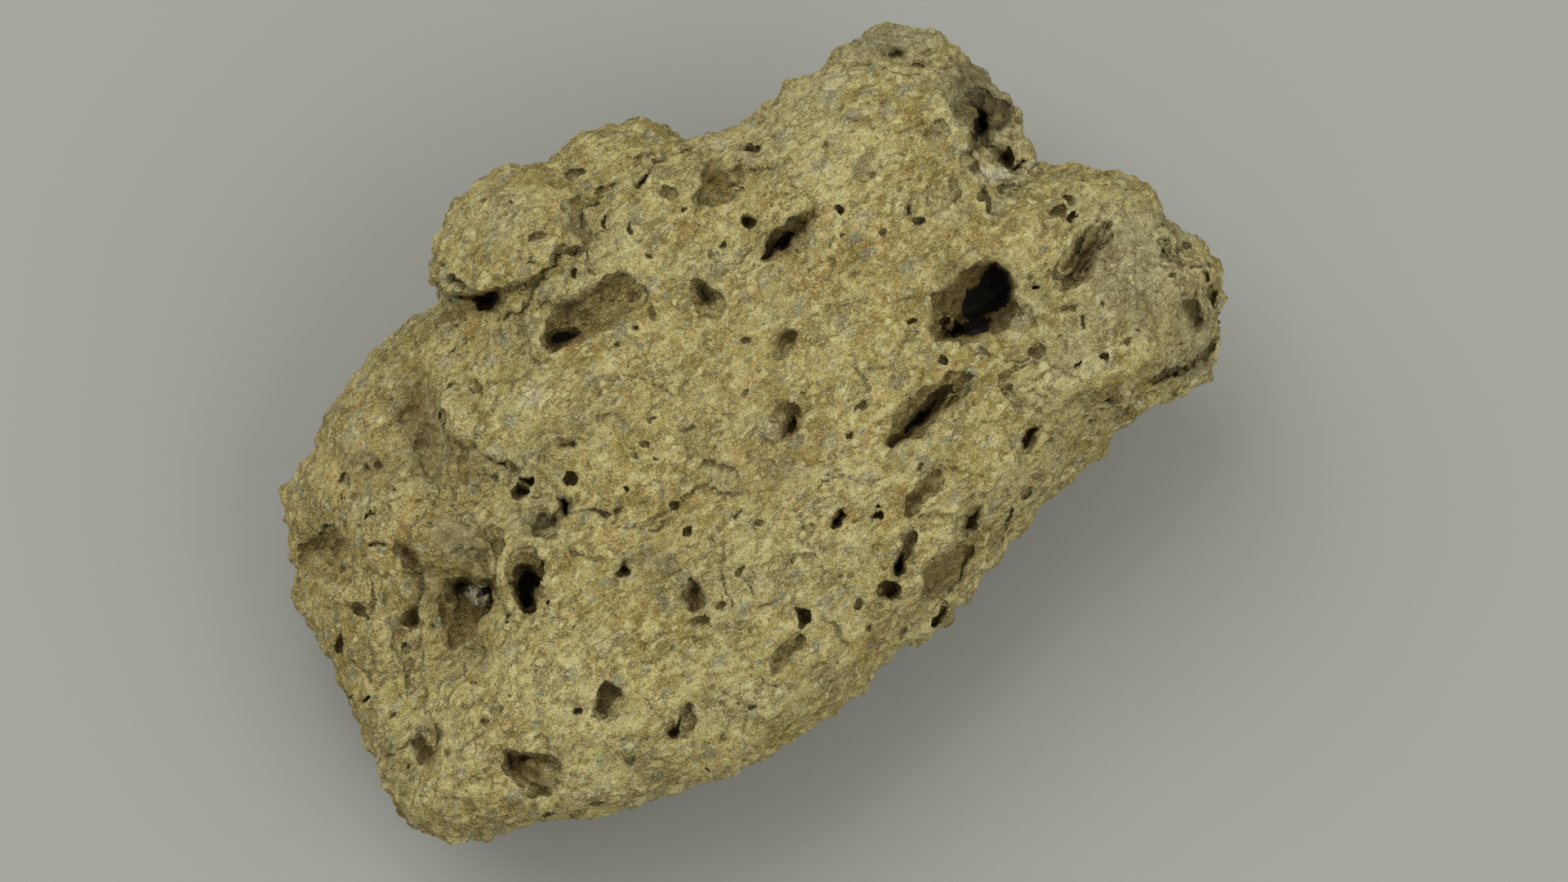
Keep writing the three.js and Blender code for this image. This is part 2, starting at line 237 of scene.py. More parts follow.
def beside(x, y, line):
    """Distance to a line of points, its sign (positive on the right hand), and the share of the way."""
    line = np.array(line, float)
    lengths = np.linalg.norm(np.diff(line, axis=0), axis=1)
    walked = np.concatenate([[0], np.cumsum(lengths)])
    nearest = np.full(len(x), np.inf)
    side = np.ones(len(x))
    share = np.zeros(len(x))
    for i, (start, length) in enumerate(zip(line[:-1], lengths)):
        ux, uy = (line[i + 1] - start) / length
        ahead = np.clip((x - start[0]) * ux + (y - start[1]) * uy, 0, length)
        away_x, away_y = x - start[0] - ahead * ux, y - start[1] - ahead * uy
        away = np.hypot(away_x, away_y)
        closer = away < nearest
        nearest = np.where(closer, away, nearest)
        side = np.where(closer, np.sign(ux * away_y - uy * away_x), side)
        share = np.where(closer, (walked[i] + ahead) / walked[-1], share)
    return nearest, side, share


def fade_at_ends(share):
    return smoothstep(0, END_FADE, share) * smoothstep(0, END_FADE, 1 - share)


def depth_inside(x, y, outline):
    """Distance to the edge of a closed outline in pixels, positive inside."""
    inside = np.zeros(len(x), bool)
    for (ax, ay), (bx, by) in zip(outline, outline[1:] + outline[:1]):
        crosses = (ay > y) != (by > y)
        reached = ax + (y - ay) * (bx - ax) / (by - ay if by != ay else 1)
        inside ^= crosses & (x < reached)
    edge = beside(x, y, outline + outline[:1])[0]
    return np.where(inside, edge, -edge)


def rounded(x, y, outline, width):
    """0 outside an outline, and a quarter circle up to 1 from there to a width inside it."""
    share = np.clip(depth_inside(x, y, outline) / width, 0, 1)
    return np.sqrt(1 - (1 - share) ** 2)

# %% [markdown]
# ## Large pits
#
# Lapilli and pumice that fell out left pits: round ones where they were round, and slots drawn out
# along the bedding, which rises to the right at about 45 degrees. The large ones have broken, angular
# rims, so each is an outline. Where part of a pit goes much deeper, that part has an outline of its own.
# `wall` is how far its wall reaches in, `lean` the direction in which the floor gets deeper and by what
# share, and `ribs` the direction of the grooves on its wall. Places and widths are in pixels of the
# camera's picture, turns in degrees and depths in millimetres.

# %% Large pits of the broad face
LARGE_PITS = [
    # name, outline, depth, wall, lean, ribs
    ("great pit", [(1138, 359), (1160, 352), (1178, 333), (1187, 317), (1208, 315), (1224, 319), (1233, 337),
     (1239, 359), (1246, 377), (1237, 395), (1217, 408), (1187, 413), (1164, 418), (1146, 424), (1137, 412),
     (1140, 386)], 8.0, 15, (-30, 0.6), 25),
    ("right slot", [(1088, 552), (1090, 536), (1092, 517), (1107, 495), (1126, 478), (1145, 466),
     (1168, 457), (1191, 455), (1194, 462), (1183, 472), (1168, 491), (1153, 510), (1141, 525), (1122, 533),
     (1104, 540), (1094, 553)], 3.2, 8, (-150, 0.3), 44),
    ("core of the right slot", [(1089, 550), (1098, 531), (1111, 517), (1130, 491), (1145, 476), (1162, 468),
     (1168, 474), (1157, 487), (1145, 502), (1130, 517), (1115, 527), (1104, 540),
     (1096, 551)], 7.5, 8, (0, 0.0), 44),
    ("upper slot", [(929, 321), (931, 303), (948, 281), (970, 268), (993, 254), (1004, 254), (999, 272),
     (988, 290), (970, 307), (953, 320), (935, 325)], 3.4, 7, (-135, 0.2), 46),
    ("core of the upper slot", [(929, 320), (933, 305), (950, 284), (966, 274), (984, 264), (996, 260),
     (990, 280), (980, 292), (966, 306), (953, 316), (938, 322)], 6.5, 8, (0, 0.0), 46),
    ("long hollow", [(661, 420), (663, 408), (674, 392), (688, 374), (706, 358), (727, 344), (748, 337),
     (774, 340), (792, 352), (789, 363), (778, 380), (761, 398), (739, 411), (708, 422), (681, 429),
     (668, 428)], 3.8, 12, (150, 0.5), 28),
    ("deep end of the long hollow", [(668, 416), (677, 405), (694, 402), (717, 404), (717, 413), (700, 422),
     (680, 426)], 6.0, 8, (0, 0.2), 28),
    ("hollow beside it", [(849, 344), (867, 348), (884, 357), (896, 371), (885, 389), (867, 395), (854, 387),
     (845, 362)], 2.8, 10, (120, 0.3), -45),
    ("core of that hollow", [(849, 347), (866, 352), (877, 362), (874, 380), (859, 377),
     (851, 363)], 4.0, 8, (0, 0.0), -45),
    ("shallow print", [(943, 438), (941, 421), (950, 405), (963, 398), (975, 402), (974, 420), (966, 436),
     (954, 441)], 2.2, 9, (50, 0.9), 65),
    ("pebble pit", [(933, 533), (937, 514), (952, 499), (971, 496), (980, 500), (975, 518), (965, 533),
     (952, 539), (937, 538)], 2.2, 8, (20, 0.9), 40),
    ("gap beside the pebble", [(961, 531), (969, 507), (979, 499), (980, 508), (975, 520),
     (966, 534)], 5.5, 5, (0, 0.0), 40),
    ("black pit", [(616, 697), (630, 677), (652, 672), (664, 682), (657, 693), (663, 709), (674, 719),
     (669, 732), (657, 731), (654, 750), (641, 753), (638, 735), (626, 718)], 4.4, 22, (-60, 0.6), 80),
    ("core of the black pit", [(622, 712), (634, 700), (654, 694), (664, 706), (662, 722), (657, 738),
     (652, 750), (642, 752), (636, 738), (626, 726)], 8.0, 7, (0, 0.0), 80),
    ("crevice of the slab", [(684, 607), (692, 608), (699, 620), (700, 632), (694, 630),
     (690, 618)], 4.0, 4, (0, 0.0), 80),
    ("hole over the slab", [(629, 600), (635, 594), (645, 595), (650, 602), (647, 609),
     (635, 610)], 4.0, 4, (0, 0.2), 0),
    ("upper hole over the slab", [(638, 583), (651, 581), (652, 592), (645, 595),
     (639, 592)], 3.4, 4, (0, 0.2), 0),
    ("cave over the crystal", [(551, 713), (562, 707), (575, 712), (590, 712), (606, 704), (608, 716),
     (604, 728), (590, 726), (578, 720), (562, 725), (553, 721)], 5.0, 6, (180, 0.3), 0),
    ("hollow under the crystal", [(545, 712), (572, 716), (606, 716), (606, 733), (593, 758), (578, 788),
     (562, 799), (546, 778), (538, 756), (536, 734), (542, 720)], 3.4, 18, (20, 0.8), 100),
    ("recess left of the shelf", [(479, 659), (488, 663), (505, 664), (515, 677), (518, 690), (513, 702),
     (500, 699), (490, 683)], 2.8, 9, (30, 0.6), 100),
    ("side pit", [(488, 766), (490, 748), (500, 740), (513, 742), (515, 760), (508, 770),
     (499, 768)], 3.2, 7, (-10, 0.9), 20),
    ("hollow under the lip", [(538, 530), (552, 530), (569, 535), (576, 550), (574, 567), (559, 577),
     (545, 574), (536, 556)], 1.6, 14, (60, 0.7), 0),
    ("toothed hole", [(592, 553), (600, 550), (612, 555), (618, 564), (614, 569), (606, 562), (600, 566),
     (594, 560)], 2.2, 3, (0, 0.2), 0),
    ("gap under the boulder", [(548, 366), (571, 365), (593, 360), (610, 352), (614, 371), (607, 385),
     (590, 384), (580, 375), (558, 369)], 5.0, 5, (0, 0.7), 10),
    ("lower slot", [(1094, 705), (1093, 691), (1098, 678), (1108, 658), (1118, 643), (1123, 648),
     (1125, 665), (1120, 685), (1111, 702), (1101, 709)], 3.4, 5, (-110, 0.4), 66),
    ("core of the lower slot", [(1094, 705), (1093, 692), (1099, 680), (1110, 675), (1117, 680), (1112, 692),
     (1108, 702), (1102, 708)], 5.5, 5, (0, 0.0), 66),
    ("right round hole", [(1014, 628), (1020, 618), (1032, 621), (1033, 633), (1025, 640), (1017, 650),
     (1012, 647), (1014, 638)], 4.5, 5, (0, 0.0), 0),
    ("lower right hole", [(1072, 716), (1086, 712), (1096, 718), (1097, 727), (1088, 734),
     (1078, 729)], 3.6, 5, (-40, 0.5), 0),
    ("torn hole", [(971, 745), (978, 741), (990, 747), (995, 760), (988, 763), (983, 770), (977, 770),
     (974, 755)], 3.8, 5, (60, 0.5), 70),
    ("slanting print", [(940, 811), (952, 795), (965, 782), (980, 774), (986, 782), (983, 795), (972, 811),
     (962, 826), (945, 826)], 2.2, 9, (130, 0.8), 50),
    ("round pit", [(731, 878), (729, 862), (733, 846), (743, 836), (759, 838), (768, 851), (766, 868),
     (757, 879), (743, 883)], 3.4, 8, (150, 0.8), 80),
    ("double pit", [(814, 898), (817, 884), (830, 878), (839, 881), (836, 892), (831, 902),
     (820, 904)], 3.2, 5, (-150, 0.5), 60),
    ("other half of the double pit", [(835, 873), (844, 861), (854, 865), (856, 878), (848, 890), (847, 907),
     (836, 911), (830, 903), (838, 890)], 1.8, 6, (60, 0.5), 60),
    ("foot pit", [(612, 925), (625, 917), (644, 916), (667, 923), (683, 925), (688, 944), (683, 966),
     (669, 978), (650, 974), (633, 958), (617, 944)], 3.4, 11, (150, 0.6), -40),
    ("brown pit", [(840, 718), (844, 706), (850, 702), (853, 713), (861, 722), (864, 730), (859, 741),
     (845, 744), (841, 730)], 3.8, 5, (170, 0.3), 90),
    ("dark pit", [(744, 708), (752, 692), (760, 685), (768, 687), (766, 695), (768, 705), (760, 708),
     (752, 716)], 3.2, 6, (30, 0.8), 0),
    ("hole by the slot", [(907, 270), (912, 262), (924, 260), (931, 265), (926, 274),
     (914, 278)], 3.6, 5, (180, 0.4), 20),
    ("dark gap", [(898, 176), (910, 173), (926, 177), (932, 186), (925, 189),
     (910, 186)], 3.4, 5, (0, 0.5), -20),
    ("peak cavity", [(1170, 128), (1182, 114), (1206, 112), (1222, 122), (1240, 126), (1251, 136),
     (1248, 152), (1232, 160), (1218, 162), (1208, 178), (1192, 184), (1187, 162),
     (1178, 144)], 3.6, 7, (-140, 0.5), 62),
    ("core of the peak cavity", [(1184, 158), (1186, 138), (1196, 130), (1206, 138), (1214, 150),
     (1210, 164), (1202, 178), (1190, 182)], 7.0, 4, (0, 0.0), 62),
    ("second cavity", [(1211, 180), (1222, 173), (1236, 176), (1242, 190), (1237, 203), (1221, 198),
     (1211, 190)], 4.2, 5, (-60, 0.5), 40),
    ("clast print", [(1130, 160), (1138, 146), (1150, 142), (1160, 152), (1166, 168), (1156, 179),
     (1140, 174)], 1.2, 4, (120, 0.4), 60),
    ("streaked hollow", [(1290, 344), (1300, 318), (1318, 290), (1340, 272), (1358, 268), (1362, 284),
     (1350, 308), (1334, 334), (1316, 354), (1298, 358)], 2.4, 24, (-60, 0.3), 60),
    ("shoulder hole", [(1285, 262), (1288, 253), (1297, 250), (1303, 256), (1301, 268),
     (1293, 272)], 2.4, 6, (0, 0.6), 70),
    ("dark print", [(1448, 366), (1456, 362), (1466, 366), (1476, 380), (1479, 396), (1472, 409),
     (1460, 404), (1452, 386)], 3.0, 5, (150, 0.6), -70),
    ("rim pit", [(1344, 494), (1354, 484), (1370, 482), (1375, 490), (1368, 501),
     (1354, 503)], 3.0, 6, (90, 0.6), 20),
    ("side print", [(1175, 656), (1179, 641), (1192, 621), (1205, 607), (1207, 621), (1199, 638),
     (1185, 655)], 2.6, 6, (150, 0.5), 58),
    ("side hollow", [(1126, 740), (1125, 712), (1131, 695), (1148, 678), (1169, 666), (1196, 662),
     (1183, 688), (1172, 712), (1156, 730), (1138, 742)], 2.8, 7, (130, 0.6), 57),
    ("leaf print", [(1106, 630), (1105, 621), (1114, 607), (1125, 594), (1138, 580), (1152, 568),
     (1158, 566), (1154, 580), (1148, 594), (1135, 608), (1128, 622), (1114, 631)], 2.6, 6, (150, 0.6), 53),
    ("hollow of the left lobe", [(362, 690), (370, 664), (392, 652), (414, 650), (430, 664), (440, 690),
     (432, 712), (410, 716), (384, 716)], 2.4, 16, (90, 0.7), 0),
    ("valley of the left face", [(470, 700), (486, 712), (496, 740), (502, 775), (505, 822), (503, 848),
     (492, 846), (484, 810), (476, 770), (468, 735)], 1.4, 16, (0, 0.5), 95),
    ("foot side pit", [(500, 912), (512, 898), (524, 900), (533, 918), (536, 934), (524, 942),
     (508, 932)], 2.6, 9, (0, 0.9), 100),
    ("corner pit", [(1141, 772), (1145, 755), (1156, 742), (1165, 739), (1160, 755),
     (1148, 772)], 3.2, 5, (150, 0.4), 66),
]
REFILLED = {
    # pits that the CAD solid has too, filled level before they are carved
    "great pit", "right slot", "upper slot", "long hollow", "hollow beside it", "shallow print",
    "pebble pit", "black pit", "lower slot", "right round hole", "torn hole", "slanting print", "round pit",
    "double pit", "foot pit", "brown pit", "dark pit", "hole by the slot", "dark gap", "streaked hollow",
    "leaf print", "rim pit",
}
print(len(LARGE_PITS), "large pits")

# %% [markdown]
# ## Small pits
#
# The small ones are ellipses, which the noise bends until they look broken too.

# %% Small pits of the broad face
SMALL_PITS = [
    # at, size, turn, depth
    ((650, 740), (26, 14), 60, 2.0), ((668, 640), (40, 20), 45, 1.6), ((647, 587), (14, 13), 0, 2.4),
    ((695, 586), (17, 15), 80, 3.4), ((694, 545), (27, 20), 10, 1.8), ((581, 619), (15, 12), 70, 2.4),
    ((674, 741), (13, 7), 100, 2.0), ((1085, 724), (25, 18), 15, 2.8), ((1070, 630), (14, 12), 0, 2.8),
    ((1071, 617), (7, 7), 0, 1.6), ((856, 761), (20, 12), 20, 2.0), ((1247, 204), (18, 10), 40, 2.4),
    ((1312, 268), (18, 10), 60, 2.6), ((1315, 244), (17, 10), -10, 2.6), ((1268, 352), (11, 10), 0, 2.4),
    ((1319, 449), (10, 10), 0, 2.4), ((1353, 438), (17, 13), 0, 2.2), ((1328, 393), (20, 6), 110, 1.4),
    ((1391, 402), (11, 9), 0, 1.4), ((1308, 376), (12, 9), 0, 1.0), ((1358, 214), (12, 9), 0, 1.6),
    ((1270, 430), (24, 12), 20, 1.6), ((1144, 762), (22, 7), 68, 2.6), ((1234, 625), (18, 9), 75, 1.8),
    ((1258, 606), (15, 11), 60, 1.4), ((1219, 660), (13, 8), 50, 1.6), ((1338, 530), (10, 8), 0, 1.8),
    ((1336, 516), (8, 6), 0, 1.4), ((1100, 69), (20, 7), -20, 1.6), ((1126, 78), (12, 6), -20, 1.2),
    ((1030, 256), (13, 9), 110, 2.8), ((1129, 269), (14, 6), -20, 2.0), ((1083, 286), (9, 8), 0, 1.6),
    ((1203, 237), (17, 12), 60, 2.4), ((1166, 232), (30, 8), 95, 1.0), ((1115, 257), (9, 7), 0, 1.4),
    ((657, 292), (23, 14), 10, 1.3), ((647, 315), (14, 8), 10, 1.4), ((679, 311), (10, 8), 0, 1.4),
    ((625, 247), (10, 7), 0, 1.2), ((707, 208), (26, 9), 15, 1.6), ((798, 313), (14, 12), 0, 1.8),
    ((741, 271), (17, 13), 70, 1.8), ((773, 281), (15, 5), 100, 1.8), ((817, 236), (20, 14), 20, 1.4),
    ((786, 223), (18, 9), 50, 2.8), ((778, 405), (11, 10), 30, 2.6), ((755, 423), (11, 8), 0, 1.4),
    ((836, 256), (9, 8), 0, 1.4), ((702, 333), (12, 7), 80, 2.0), ((801, 382), (18, 7), 80, 1.4),
    ((448, 572), (14, 9), 110, 2.0), ((460, 568), (7, 6), 0, 1.6), ((420, 588), (13, 10), 60, 1.8),
    ((485, 601), (13, 6), 115, 1.6), ((412, 672), (24, 8), 75, 1.6), ((462, 668), (18, 7), 0, 2.2),
    ((402, 648), (22, 8), 20, 2.2), ((456, 628), (16, 6), 20, 1.8), ((441, 747), (30, 8), -50, 2.0),
    ((415, 787), (20, 12), 70, 2.6), ((426, 856), (18, 14), 0, 1.8), ((447, 857), (10, 5), 50, 2.0),
    ((485, 924), (10, 7), 20, 1.8), ((499, 940), (10, 7), 60, 1.8), ((549, 926), (14, 8), 80, 1.6),
    ((537, 897), (16, 7), -60, 1.6), ((496, 792), (11, 4), 90, 1.8), ((1472, 335), (14, 11), -30, 2.4),
    ((1485, 360), (22, 10), -60, 2.6), ((1452, 300), (15, 10), 40, 1.8), ((1499, 391), (12, 9), 0, 2.0),
    ((1159, 443), (9, 8), 0, 2.0), ((911, 411), (10, 7), 0, 1.4), ((1120, 395), (8, 6), 0, 1.2),
    ((1054, 497), (20, 9), 25, 1.4), ((799, 558), (9, 7), 0, 1.8), ((790, 544), (13, 10), 0, 1.0),
    ((781, 559), (12, 10), 0, 1.0), ((766, 600), (12, 5), 80, 1.4), ((823, 620), (7, 6), 0, 2.0),
    ((842, 523), (28, 13), 30, 1.0), ((875, 312), (12, 8), 20, 1.4), ((707, 872), (5, 5), 0, 1.8),
    ((870, 940), (12, 5), 0, 1.8), ((843, 653), (11, 14), 0, 2.2), ((854, 762), (21, 14), 0, 1.4),
    ((671, 998), (8, 4), 0, 1.6), ((905, 700), (16, 6), 60, 1.2), ((884, 740), (14, 8), 20, 1.4),
    ((1010, 705), (12, 7), 40, 1.2), ((1050, 742), (14, 9), 30, 1.6), ((560, 402), (9, 7), 0, 1.2),
    ((552, 430), (9, 8), 60, 1.8), ((1215, 395), (12, 8), 30, 1.2), ((1350, 370), (9, 8), 0, 1.2),
    ((1412, 246), (9, 8), 0, 1.6), ((930, 640), (12, 6), 20, 1.2), ((1010, 175), (10, 7), 40, 1.0),
    ((1068, 214), (9, 6), 30, 1.0), ((985, 480), (9, 7), 0, 1.2), ((1040, 530), (9, 7), 30, 1.2),
    ((700, 770), (8, 6), 0, 1.2), ((620, 850), (8, 7), 30, 1.4), ((590, 880), (9, 8), 20, 1.4),
    ((770, 930), (9, 7), 0, 1.2), ((1066, 770), (12, 9), 20, 1.6), ((1105, 778), (14, 8), 60, 1.6),
    ((922, 866), (10, 7), 20, 1.2), ((520, 975), (12, 8), 0, 1.4),
]
print(len(SMALL_PITS), "small pits")

# %% [markdown]
# ## Cracks, ledges, lumps and swells
#
# A crack is a narrow groove along a line. A ledge is a step: the skin on the left-hand side of the
# line is raised, and the rise dies away over `reach`. A lump is a clast or plate that stands out, with a
# rounded edge as wide as `edge`. A swell is a broad low mound, or a hollow where its height is below
# zero.

# %% Cracks
CRACKS = [
    # line, width, depth
    ([(613, 351), (621, 357), (629, 357), (636, 353), (646, 351)], 5, 1.4),
    ([(648, 353), (656, 342), (662, 330), (675, 318), (683, 311), (691, 305), (704, 305),
     (713, 304)], 7, 1.5),
    ([(713, 304), (716, 288), (709, 265), (717, 257)], 7, 1.1),
    ([(717, 257), (730, 249), (732, 235), (743, 227), (764, 224), (785, 227)], 6, 1.1),
    ([(785, 225), (794, 209), (800, 197), (812, 192)], 6, 1.0),
    ([(826, 190), (838, 184), (848, 184)], 5, 0.9),
    ([(649, 352), (652, 366), (646, 378), (640, 383), (628, 386), (617, 390), (608, 387)], 5, 0.9),
    ([(716, 304), (718, 322), (724, 334)], 5, 0.9),
    ([(573, 445), (581, 455), (583, 470), (588, 480), (587, 492)], 4.5, 0.6),
    ([(555, 464), (545, 478), (543, 492), (541, 503), (536, 515)], 6, 1.5),
    ([(607, 436), (603, 452)], 5, 0.9), ([(608, 466), (603, 478), (600, 486)], 5, 0.7),
    ([(561, 478), (567, 472)], 4.5, 0.6), ([(645, 613), (664, 610), (688, 607)], 4.5, 0.9),
    ([(699, 623), (706, 629), (728, 627), (746, 629)], 5, 1.0),
    ([(728, 629), (745, 636), (770, 644), (790, 640), (823, 622), (850, 603), (868, 596)], 4.5, 0.4),
    ([(1201, 422), (1207, 434), (1224, 437), (1236, 442), (1250, 444), (1265, 438)], 6, 0.9),
    ([(1226, 472), (1229, 482), (1240, 495), (1252, 499)], 5, 0.7),
    ([(1421, 276), (1432, 311), (1450, 331), (1463, 350), (1468, 374)], 6, 1.1),
    ([(1419, 276), (1440, 286), (1458, 290)], 5, 0.9), ([(1452, 330), (1470, 322), (1486, 326)], 5, 0.9),
    ([(418, 606), (424, 614), (420, 625), (430, 634)], 4.5, 0.9), ([(425, 612), (432, 606)], 4.5, 0.7),
    ([(1052, 78), (1078, 83), (1108, 92), (1140, 97)], 5, 0.7),
    ([(1205, 234), (1212, 246), (1210, 262)], 5, 0.9), ([(1222, 233), (1240, 230), (1252, 232)], 5, 0.7),
    ([(1186, 200), (1204, 214), (1226, 220), (1246, 216)], 5, 0.7),
    ([(700, 676), (716, 684), (738, 682)], 4.5, 0.6), ([(898, 700), (915, 712), (922, 730)], 4.5, 0.6),
    ([(430, 806), (446, 818), (452, 842)], 5, 0.7),
    ([(1288, 352), (1310, 322), (1330, 290), (1345, 270)], 5.5, 1.1),
    ([(1300, 356), (1320, 328), (1338, 300), (1352, 276)], 5.5, 1.3),
    ([(1312, 350), (1332, 322), (1350, 292), (1362, 270)], 5.5, 1.3),
    ([(1326, 340), (1345, 312), (1358, 288)], 5, 1.1), ([(1282, 340), (1296, 322), (1308, 304)], 5, 0.8),
    ([(1245, 560), (1249, 545), (1258, 530), (1274, 518)], 9, 3.0),
    ([(880, 730), (884, 738), (882, 744), (887, 746)], 4.5, 1.0),
    ([(955, 686), (980, 680), (1000, 681)], 4.5, 0.6), ([(880, 700), (886, 724), (900, 744)], 4.5, 0.6),
    ([(1000, 690), (1024, 704), (1052, 706)], 4.5, 0.5), ([(790, 850), (800, 872), (812, 880)], 4.5, 0.6),
    ([(560, 800), (572, 826), (590, 844)], 4.5, 0.5), ([(736, 470), (770, 462), (800, 466)], 4.5, 0.4),
    ([(1000, 590), (1030, 584), (1054, 590)], 4.5, 0.5), ([(1300, 560), (1280, 582), (1262, 590)], 4.5, 0.7),
    ([(1228, 636), (1222, 668), (1204, 690)], 4.5, 0.7),
    ([(1494, 398), (1478, 428), (1447, 449), (1408, 465), (1374, 477), (1330, 494)], 16, 2.4),
    ([(778, 640), (790, 648), (806, 650), (812, 640)], 4.5, 0.9),
    ([(868, 596), (890, 604), (912, 600)], 4.5, 0.6),
    ([(826, 612), (840, 606), (852, 594), (866, 592)], 4.5, 0.8),
    ([(1046, 448), (1060, 470), (1056, 490)], 4.5, 0.6), ([(928, 742), (950, 734), (962, 742)], 4.5, 0.6),
    ([(1010, 760), (1030, 774), (1040, 790)], 4.5, 0.6), ([(560, 620), (590, 622), (612, 634)], 4.5, 0.6),
    ([(455, 700), (452, 724), (460, 744)], 4.5, 0.8), ([(560, 960), (580, 950), (606, 956)], 4.5, 0.6),
    ([(470, 930), (492, 916), (506, 904)], 5, 0.7), ([(720, 990), (740, 976), (752, 980)], 4.5, 0.7),
]
print(len(CRACKS), "cracks")

# %% Ledges
LEDGES = [
    # name, line, rise, reach
    ("boulder", [(523, 330), (532, 354), (548, 365), (571, 364), (593, 359), (611, 351)], 3.6, 46),
    ("boulder's side", [(613, 350), (640, 352), (653, 345), (664, 331), (690, 305), (712, 300)], 2.0, 44),
    ("torn ridge", [(785, 229), (764, 226), (745, 229), (733, 237), (718, 260), (722, 290)], 2.0, 34),
    ("right shoulder", [(1266, 506), (1314, 492), (1341, 474), (1385, 461), (1430, 448), (1465, 430),
     (1481, 412), (1484, 392)], 4.2, 60),
    ("band under the shoulder", [(1286, 526), (1340, 508), (1385, 492), (1430, 474), (1468, 452)], 1.4, 16),
    ("right rim", [(1479, 412), (1483, 390), (1474, 364), (1460, 342), (1447, 315), (1430, 288),
     (1421, 271)], 1.8, 44),
    ("left face", [(500, 664), (514, 690), (515, 740), (517, 821), (519, 863), (530, 890)], 1.3, 50),
    ("foot lobe", [(538, 950), (540, 925), (530, 900), (512, 890), (490, 900), (470, 920)], 1.4, 26),
    ("crystal ridge", [(612, 640), (617, 668), (616, 693), (610, 718), (606, 735), (593, 760), (580, 782),
     (570, 800)], 3.2, 44),
    ("mound's lip", [(552, 455), (541, 484), (538, 507), (541, 524), (556, 528), (566, 540), (574, 545),
     (586, 541), (598, 549), (608, 557), (620, 556), (627, 568), (638, 573), (645, 584),
     (662, 585)], 3.0, 50),
    ("lobe's edge", [(485, 650), (508, 634), (525, 621), (534, 608), (524, 590), (512, 566),
     (504, 544)], 0.9, 60),
    ("knob of the lobe", [(430, 640), (446, 650), (454, 668), (448, 690), (458, 700)], 1.4, 26),
    ("dome's crest", [(1147, 98), (1121, 86), (1090, 76), (1050, 78), (1024, 79), (1006, 86),
     (979, 104)], 1.8, 34),
    ("dome's right edge", [(1187, 186), (1185, 170), (1178, 153), (1165, 135), (1152, 117),
     (1140, 100)], 3.4, 40),
    ("lower crest", [(1113, 636), (1142, 628), (1172, 627), (1195, 618), (1207, 606), (1226, 594)], 1.4, 30),
    ("side hollow's edge", [(1126, 746), (1128, 710), (1141, 685), (1177, 666)], 1.2, 26),
    ("clast below the dome", [(1228, 268), (1212, 262), (1209, 246), (1216, 236)], 0.8, 16),
    ("flake by the pebble pit", [(842, 575), (866, 569), (900, 574), (910, 592)], 0.8, 20),
    ("block of the shoulder", [(1256, 478), (1226, 476), (1224, 460), (1246, 446), (1275, 442)], 1.2, 24),
    ("ridge beside the scoop", [(850, 276), (846, 250), (852, 226), (866, 200)], 1.0, 24),
    ("dome's left edge", [(902, 240), (900, 214), (906, 196), (930, 186)], 1.6, 34),
    ("face below the lobe", [(452, 720), (460, 750), (458, 790), (470, 830)], 1.4, 26),
]
print(len(LEDGES), "ledges")

# %% Lumps
LUMPS = [
    # name, outline, height, edge
    ("shelf", [(508, 638), (538, 629), (576, 633), (601, 654), (612, 690), (606, 708), (592, 713),
     (576, 713), (551, 706), (526, 690), (507, 662)], 2.6, 14),
    ("crystal", [(567, 724), (574, 716), (588, 717), (597, 727), (590, 738), (578, 741),
     (569, 734)], 6.6, 6),
    ("tongue in the foot pit", [(638, 934), (656, 926), (676, 936), (682, 954), (672, 972), (654, 962),
     (640, 948)], 1.8, 8),
    ("slab", [(636, 614), (660, 608), (684, 610), (690, 622), (697, 640), (690, 661), (660, 657),
     (641, 638)], 2.0, 12),
    ("toothed clast", [(577, 550), (600, 546), (617, 556), (619, 573), (600, 582), (580, 575)], 1.2, 5),
    ("cube in the gap", [(614, 358), (641, 352), (646, 368), (641, 381), (622, 388), (613, 378)], 2.4, 7),
    ("white ledge", [(1188, 186), (1210, 187), (1220, 199), (1236, 203), (1252, 212), (1252, 225),
     (1236, 232), (1214, 227), (1200, 210), (1188, 197)], 3.0, 4),
    ("block by the second cavity", [(1242, 172), (1252, 166), (1264, 182), (1266, 200), (1258, 212),
     (1246, 206)], 1.6, 6),
    ("rim of the peak cavity", [(1228, 112), (1242, 112), (1253, 124), (1254, 150), (1244, 164), (1232, 160),
     (1238, 140), (1230, 124)], 1.6, 6),
    ("plate on the mound", [(541, 490), (553, 470), (572, 464), (586, 480), (583, 500), (566, 514),
     (546, 508)], 1.4, 5),
    ("upper plate on the mound", [(557, 454), (575, 444), (600, 448), (604, 468), (590, 478),
     (578, 460)], 1.2, 5),
    ("pebble", [(936, 531), (940, 516), (950, 504), (966, 500), (966, 516), (958, 530), (948, 537)], 1.8, 9),
    ("clast in the round pit", [(748, 866), (752, 852), (762, 852), (764, 864), (756, 874)], 1.4, 5),
    ("right shoulder block", [(1228, 470), (1240, 452), (1262, 447), (1292, 452), (1310, 470), (1296, 486),
     (1262, 492), (1238, 486)], 1.2, 12),
    ("lobe of the right foot", [(1424, 474), (1440, 446), (1470, 432), (1480, 446), (1468, 470),
     (1440, 484)], 1.6, 10),
    ("clast of the left lobe", [(408, 520), (424, 508), (442, 514), (448, 532), (436, 548),
     (414, 546)], 1.0, 10),
]
print(len(LUMPS), "lumps")

